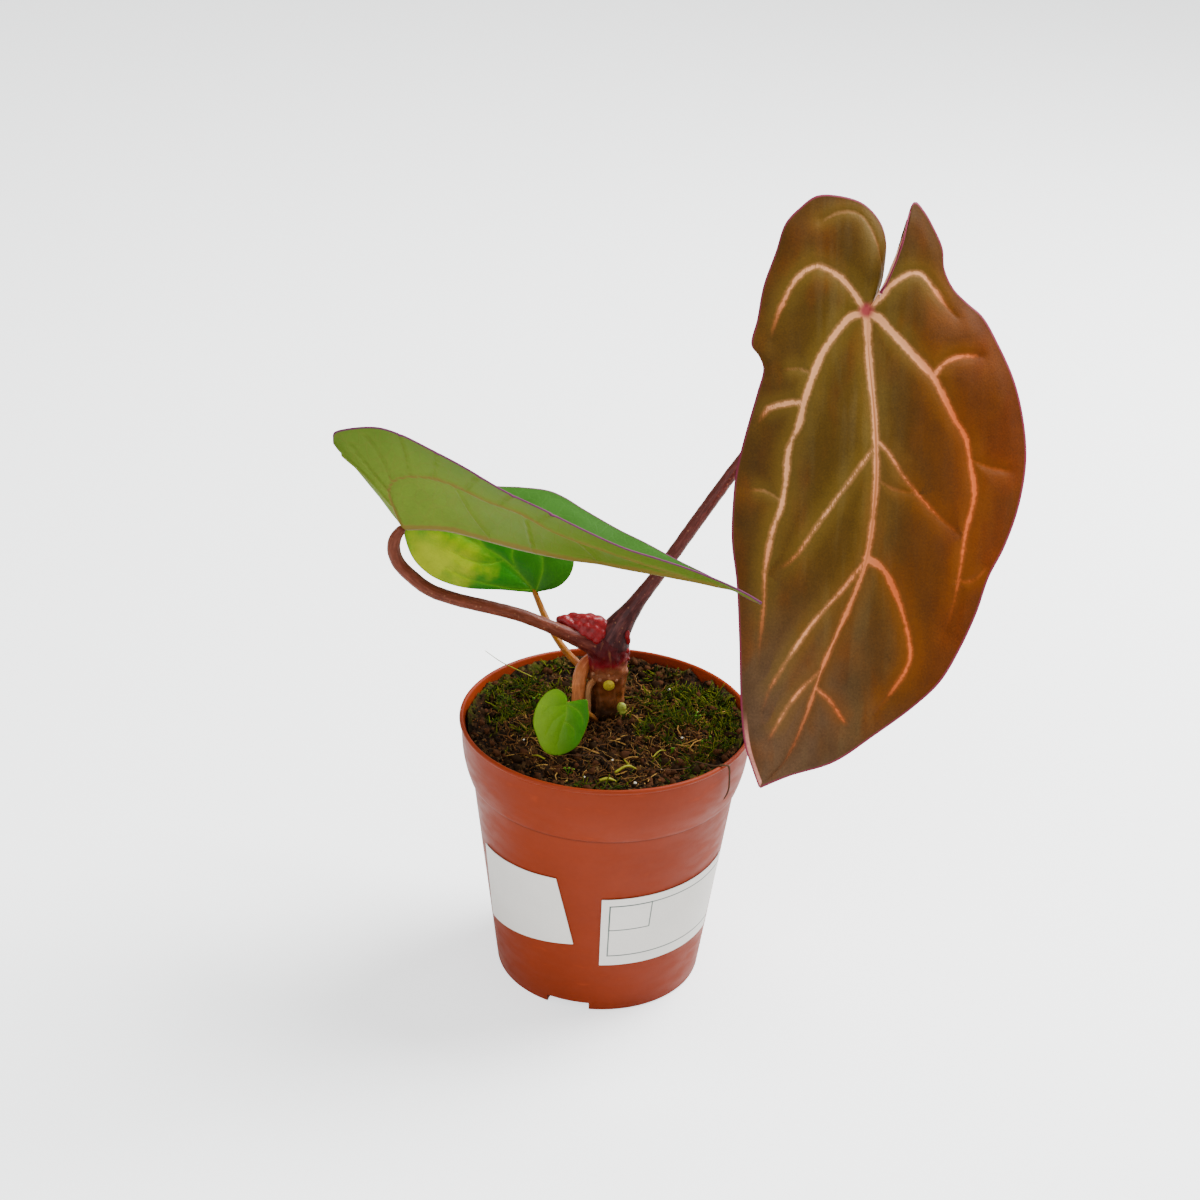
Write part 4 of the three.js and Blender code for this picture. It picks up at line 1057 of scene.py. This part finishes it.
def soilMaterial():
    material, tree, shader = newMaterial("pottingMix")
    place = objectPlace(tree)
    crumbs = wire(tree, "ShaderNodeTexVoronoi", "Color", {"Vector": place, "Scale": 700.0})
    base = ramp(split(crumbs)[0], soil["crumbs"])
    base = speckle(place, 70.0, 6.0).spread(0.4, 0.65, 0.55, 0.0).mix(base, soil["wet"])
    green = attribute(tree, "moss") * speckle(place, 420.0, 5.0).spread(0.4, 0.6)
    feed(shader, {"Base Color": (green * 0.8).mix(base, soil["mossy"]), "Roughness": 0.85,
                  "Specular IOR Level": 0.02, "Normal": bump(speckle(place, 900.0, 6.0), 0.8)})
    return material


def makeSoil():
    rings, segments = soil["rings"], soil["segments"]
    turns = [(math.cos(a), math.sin(a)) for a in 2 * math.pi * np.arange(segments) / segments]
    spots = [(0, 0)]
    for i in range(1, rings + 1):
        r = soil["radius"] * (i / rings) ** 0.85
        spots += [(r * c, r * s) for c, s in turns]
    verts = [onSoil(x, y) for x, y in spots]
    moss = [0.0] + [mossAmount(x, y) for x, y in spots[1:]] + [0.0] * (segments + 1)
    verts += [(soil["lowRadius"] * c, soil["lowRadius"] * s, soil["low"]) for c, s in turns]
    verts.append((0, 0, soil["low"]))
    faces = [[0, 1 + j, 1 + (j + 1) % segments] for j in range(segments)]
    for i in range(rings):
        for j in range(segments):
            a, b = 1 + i * segments + j, 1 + i * segments + (j + 1) % segments
            faces.append([a, a + segments, b + segments, b])
    last, middle = 1 + rings * segments, len(verts) - 1
    faces += [[last + (j + 1) % segments, last + j, middle] for j in range(segments)]
    return makeObject("soilSurface", verts, faces, soilMaterial(), {"moss": moss})


soilPiece = makeSoil()


def scatterTree(name, material):
    # strews copies of a small shape over the upward faces of a surface
    tree = bpy.data.node_groups.new(name, "GeometryNodeTree")
    face = tree.interface
    face.new_socket("Surface", in_out="INPUT", socket_type="NodeSocketGeometry")
    face.new_socket("Shape", in_out="INPUT", socket_type="NodeSocketObject")
    face.new_socket("Seed", in_out="INPUT", socket_type="NodeSocketInt")
    for label in ("Per square metre", "Smallest", "Largest", "Tilt", "Moss share", "Reach"):
        face.new_socket(label, in_out="INPUT", socket_type="NodeSocketFloat")
    face.new_socket("Pieces", in_out="OUTPUT", socket_type="NodeSocketGeometry")
    come = groupInputs(tree)
    up = split(wire(tree, "GeometryNodeInputNormal", 0, {}))[2]
    where = wire(tree, "GeometryNodeInputPosition", 0, {})
    flat = wire(tree, "ShaderNodeVectorMath", 0, {0: where, 1: (1, 1, 0)}, operation="MULTIPLY")
    away = wire(tree, "ShaderNodeVectorMath", "Value", {0: flat}, operation="LENGTH")
    inReach = away.maths("LESS_THAN", come["Reach"])
    mossy = wire(tree, "GeometryNodeInputNamedAttribute", 0, {"Name": "moss"}, data_type="FLOAT")
    share = wire(tree, "ShaderNodeMix", 0, {0: come["Moss share"], 2: 1.0, 3: mossy})
    upward = wire(tree, "FunctionNodeCompare", 0, {0: up, 1: 0.15}, operation="GREATER_THAN")
    points = wire(tree, "GeometryNodeDistributePointsOnFaces", "Points", {
        "Mesh": come["Surface"], "Selection": upward, "Density": share * come["Per square metre"] * inReach,
        "Seed": come["Seed"]})
    shape = wire(tree, "GeometryNodeObjectInfo", "Geometry", {"Object": come["Shape"]})
    tilt = come["Tilt"]
    turn = wire(tree, "FunctionNodeRandomValue", 0, {
        0: combine(tilt * -1.0, tilt * -1.0, -3.14), 1: combine(tilt, tilt, 3.14), "Seed": come["Seed"]},
        data_type="FLOAT_VECTOR")
    size = wire(tree, "FunctionNodeRandomValue", 1, {
        2: come["Smallest"], 3: come["Largest"], "Seed": come["Seed"]}, data_type="FLOAT")
    placed = wire(tree, "GeometryNodeInstanceOnPoints", 0, {
        "Points": points, "Instance": shape, "Rotation": turn, "Scale": size})
    real = wire(tree, "GeometryNodeRealizeInstances", 0, {0: placed})
    done = wire(tree, "GeometryNodeSetMaterial", 0, {"Geometry": real, "Material": material})
    feed(tree.nodes.new("NodeGroupOutput"), {0: done})
    return tree


def strew(name, shape, material, values):
    piece = bpy.data.objects.new(name, soilPiece.data.copy())
    bpy.context.collection.objects.link(piece)
    modifier = piece.modifiers.new("strew", "NODES")
    modifier.node_group = scatterTree(name + "Tree", material)
    for item in modifier.node_group.interface.items_tree:
        if item.in_out == "INPUT" and item.name != "Surface":
            modifier[item.identifier] = {"Shape": shape, **values}[item.name]
    bake(piece)
    finishPiece(piece, "soil")
    bpy.data.objects.remove(shape)
    print(name, len(piece.data.polygons), "faces")


def lumpShape(size, seed, rough=0.35, level=1):
    verts, faces = ballShape((0, 0, 0), size, (1, 0.8, 0.65), level)
    verts = [v * (1 + rough * noise.noise(Vector(v / size * 1.3) + Vector((seed, seed, seed)))) for v in verts]
    return makeObject("lumpShape", verts, faces, None)


def fibreShape(length, radius, bend, seed, sides=4, rings=6):
    # a curved thread that starts at the origin and rises a little
    draw = random.Random(seed)
    points, heading, rise = [(0.0, 0.0, -0.6, radius)], 0.0, 0.35
    for k in range(rings):
        heading += draw.uniform(-bend, bend)
        rise += draw.uniform(-0.45, 0.2)
        step = length / rings
        x, y, z, _ = points[-1]
        points.append((x + step * math.cos(heading), y + step * math.sin(heading), z + step * rise * 0.4,
                       radius * (1 - 0.5 * k / rings)))
    return makeObject("fibreShape", *tubeShape(points, sides, rings * 2, roundEnd=False)[:2], None)


# name, shape, colour, roughness, count per square metre, seed, smallest, largest, and what isn't usual
usual = {"Tilt": 3.1, "Moss share": 0.0, "Reach": 0.0550}
onMoss = {"Tilt": 1.4, "Moss share": 1.0, "Reach": 0.0530}
strewn = (
    ("darkCrumbs", lumpShape(1.1, 2), (0.007, 0.004, 0.002), 0.9, 110000.0, 3, 0.3, 1.1, {}),
    ("brownCrumbs", lumpShape(1.0, 5), (0.075, 0.028, 0.009), 0.85, 65000.0, 5, 0.25, 0.85, {}),
    ("earthClods", lumpShape(2.6, 3, 0.6, 2), (0.014, 0.007, 0.003), 0.9, 5000.0, 6, 0.5, 1.2,
     {"Reach": 0.0525}),
    ("barkChips", lumpShape(1.9, 7, 0.5), (0.045, 0.017, 0.007), 0.8, 15000.0, 9, 0.6, 1.4, {}),
    ("strawBits", fibreShape(11, 0.36, 0.35, 4), (0.26, 0.14, 0.035), 0.7, 22000.0, 12, 0.4, 1.2,
     {"Tilt": 0.5, "Reach": 0.0445}),
    ("peatFibres", fibreShape(9, 0.24, 0.9, 8), (0.085, 0.036, 0.011), 0.8, 120000.0, 15, 0.35, 1.1,
     {"Tilt": 0.6, "Reach": 0.045}),
    ("paleHairs", fibreShape(13, 0.13, 1.1, 11), (0.26, 0.14, 0.04), 0.75, 40000.0, 18, 0.4, 1.0,
     {"Tilt": 0.7, "Reach": 0.0445}),
    ("mossStrands", fibreShape(5.2, 0.36, 0.8, 14, 3, 4), (0.07, 0.078, 0.005), 0.75, 600000.0, 21, 0.4, 1.1,
     onMoss),
    ("darkMoss", fibreShape(4.4, 0.34, 0.8, 17, 3, 4), (0.02, 0.036, 0.004), 0.8, 1000000.0, 24, 0.4, 1.1,
     onMoss),
)
for name, shape, colour, rough, density, seed, smallest, largest, unusual in strewn:
    finish = plainMaterial(name + "Finish", colour, rough, 4, 0.8, 0.5, 0.1, gloss=0.02)
    sizes = {"Per square metre": density, "Seed": seed, "Smallest": smallest, "Largest": largest}
    strew(name, shape, finish, {**usual, **sizes, **unusual})

# single things on the mix: places are x and y, and a bit has its heading, length and radius too
single = {
    "grains": ((22.5, -33), (-8, -41), (31, -8), (12, -46), (-33, -14), (38, 14), (3, -27), (26, 30)),
    "bits": ((4, -38, 0.5, 11, 0.55), (-2, -44, 0.2, 7, 0.7), (10, -30, 1.9, 8, 0.35), (19, -24, 0.9, 9, 0.3),
             (-24, -30, 2.4, 8, 0.3)),
    "leaningThread": [(-30, 38, 111, 0.3), (-38, 36, 116, 0.26), (-45, 33.5, 121, 0.2), (-52, 32, 127, 0.12)],
    "sprouts": ((30, 20), (36, 6), (-30, 16), (27, -18), (-14, -34), (40, -12)),
    "threads": (
        [(36, -30, 113, 0.4), (43, -36.5, 115.2, 0.45), (46.6, -38, 116.6, 0.45), (48.6, -36.9, 115.6, 0.42),
         (49.3, -36.4, 110, 0.4), (49.2, -36, 104, 0.36), (47.6, -35.2, 99, 0.2)],  # over the rim
        [(-18, -24, 111, 0.25), (-11, -30, 114, 0.25), (-2, -29, 113.4, 0.25), (4, -34, 111, 0.2)],
        [(14, -34, 111, 0.22), (20, -39, 114, 0.2), (30, -37, 113.5, 0.2), (35, -30, 111, 0.2)]),
    "seed": 31,
}


def bitShape(x, y, heading, length, radius):
    x1, y1 = x + length * math.cos(heading), y + length * math.sin(heading)
    middle = onSoil((x + x1) / 2, (y + y1) / 2, 1.9)
    points = [(*onSoil(x, y, 0.6), radius), (*middle, radius), (*onSoil(x1, y1, 0.9), radius * 0.6)]
    return tubeShape(points, 8, 14)[:2]


def sproutShapes(x, y, draw):
    # a thin stalk with a tiny leaf at its tip
    leanX, leanY = draw.uniform(-1, 1), draw.uniform(-1, 1)
    x0, y0, z0 = onSoil(x + draw.uniform(-1.5, 1.5), y + draw.uniform(-1.5, 1.5))
    tip = (x0 + leanX * 1.8, y0 + leanY * 1.8, z0 + draw.uniform(2.4, 4.2))
    middle = ((x0 + tip[0]) / 2 + 0.3, (y0 + tip[1]) / 2, z0 + 1.6)
    stalk = tubeShape([(x0, y0, z0, 0.18), (*middle, 0.18), (*tip, 0.12)], 5, 6)[:2]
    return [stalk, ballShape(tip, 0.7, (1, 0.7, 0.4), 1)]


draw = random.Random(single["seed"])
grains = [ballShape(onSoil(x, y, 0.9), draw.uniform(0.45, 0.95), (1, 0.85, 0.8), 1)
          for x, y in single["grains"]]
bits = [bitShape(*bit) for bit in single["bits"]] + [tubeShape(single["leaningThread"], 6, 30)[:2]]
sprouts = [shape for x, y in single["sprouts"] for _ in range(3) for shape in sproutShapes(x, y, draw)]
threads = [tubeShape(points, 6, 40)[:2] for points in single["threads"]]
for name, shapes, finish in (
        ("perliteGrains", grains, ("perliteFinish", (0.5, 0.47, 0.38), 0.7, 1, 0.3, 0.3, 0.1)),
        ("greenBits", bits, ("greenBitFinish", (0.20, 0.19, 0.012), 0.55, 2, 0.5, 0.3, 0.1)),
        ("tinySprouts", sprouts, ("sproutFinish", (0.06, 0.16, 0.004), 0.5, 1, 0.3, 0.2, 0.1)),
        ("looseThreads", threads, ("threadFinish", (0.05, 0.022, 0.008), 0.8, 2, 0.4, 0.3, 0.1))):
    finishPiece(makeObject(name, *joinShapes(shapes), plainMaterial(*finish)), "soil")
finishPiece(soilPiece, "soil", "soil")
print("soil done")

# the roots under the soil aren't seen: the CAD node keeps its place with a plain finish
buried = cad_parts["roots"]
buried.data.materials.clear()
buried.data.materials.append(plainMaterial("buriedRootFinish", (0.40, 0.24, 0.13), 0.7, 4, 0.4, 0.2, 0.2))


# floor, light and camera: places of the lights are metres

room = {
    "floorHalf": 6000, "floor": (0.84, 0.83, 0.81), "floorGlow": (0.93, 0.97, 1.0), "glowOnThings": 0.1,
    "glowSeen": 1.3, "air": (1.0, 0.96, 0.90), "airStrength": 0.62,
}
lights = {
    "windowLight": {"place": (0.9, 0.5, 1.5), "target": (0, 0, 0.12), "size": 1.1, "power": 110,
                    "colour": (0.94, 0.97, 1.0)},
    "frontFill": {"place": (-0.7, -1.3, 0.9), "target": (0, 0, 0.15), "size": 1.4, "power": 20,
                  "colour": (0.95, 0.97, 1.0)},
}
view = {"place": (-4.3, -784.5, 556.3), "pitch": 26.32, "roll": 2.07, "lens": 66.0, "sensor": 36.0}

floorFinish, floorTree, floorShader = newMaterial("paleFloor")
# the glow is for the eye of the camera and hardly lights the plant
seen = wire(floorTree, "ShaderNodeLightPath", "Is Camera Ray", {})
feed(floorShader, {"Base Color": room["floor"], "Roughness": 0.7, "Emission Color": room["floorGlow"],
                   "Emission Strength": seen.spread(0.0, 1.0, room["glowOnThings"], room["glowSeen"])})
corners = [(x * room["floorHalf"], y * room["floorHalf"], 0) for x, y in ((-1, -1), (1, -1), (1, 1), (-1, 1))]
makeObject("paleFloorSheet", corners, [[0, 1, 2, 3]], floorFinish, smooth=False)

world = bpy.data.worlds.new("softWhiteRoom")
bpy.context.scene.world = world
world.use_nodes = True
feed(world.node_tree.nodes["Background"], {"Color": room["air"], "Strength": room["airStrength"]})

for name, light in lights.items():
    lamp = bpy.data.lights.new(name, "AREA")
    lamp.shape, lamp.size, lamp.energy, lamp.color = "DISK", light["size"], light["power"], light["colour"]
    holder = bpy.data.objects.new(name, lamp)
    bpy.context.collection.objects.link(holder)
    holder.location = light["place"]
    aim = Vector(light["target"]) - Vector(light["place"])
    holder.rotation_euler = aim.to_track_quat("-Z", "Y").to_euler()

pitch, roll = math.radians(view["pitch"]), math.radians(view["roll"])
forward = Vector((0, math.cos(pitch), -math.sin(pitch)))
right, up = Vector((1, 0, 0)), Vector((0, math.sin(pitch), math.cos(pitch)))
across = math.cos(roll) * right + math.sin(roll) * up
upright = -math.sin(roll) * right + math.cos(roll) * up
camera = bpy.data.cameras.new("photoCamera")
camera.lens, camera.sensor_width, camera.clip_end = view["lens"], view["sensor"], 30
cameraHolder = bpy.data.objects.new("photoCamera", camera)
bpy.context.collection.objects.link(cameraHolder)
turn = Matrix((across, upright, -forward)).transposed()
cameraHolder.matrix_world = Matrix.Translation(Vector(view["place"]) * mm) @ turn.to_4x4()
bpy.context.scene.camera = cameraHolder
print("light and camera done")
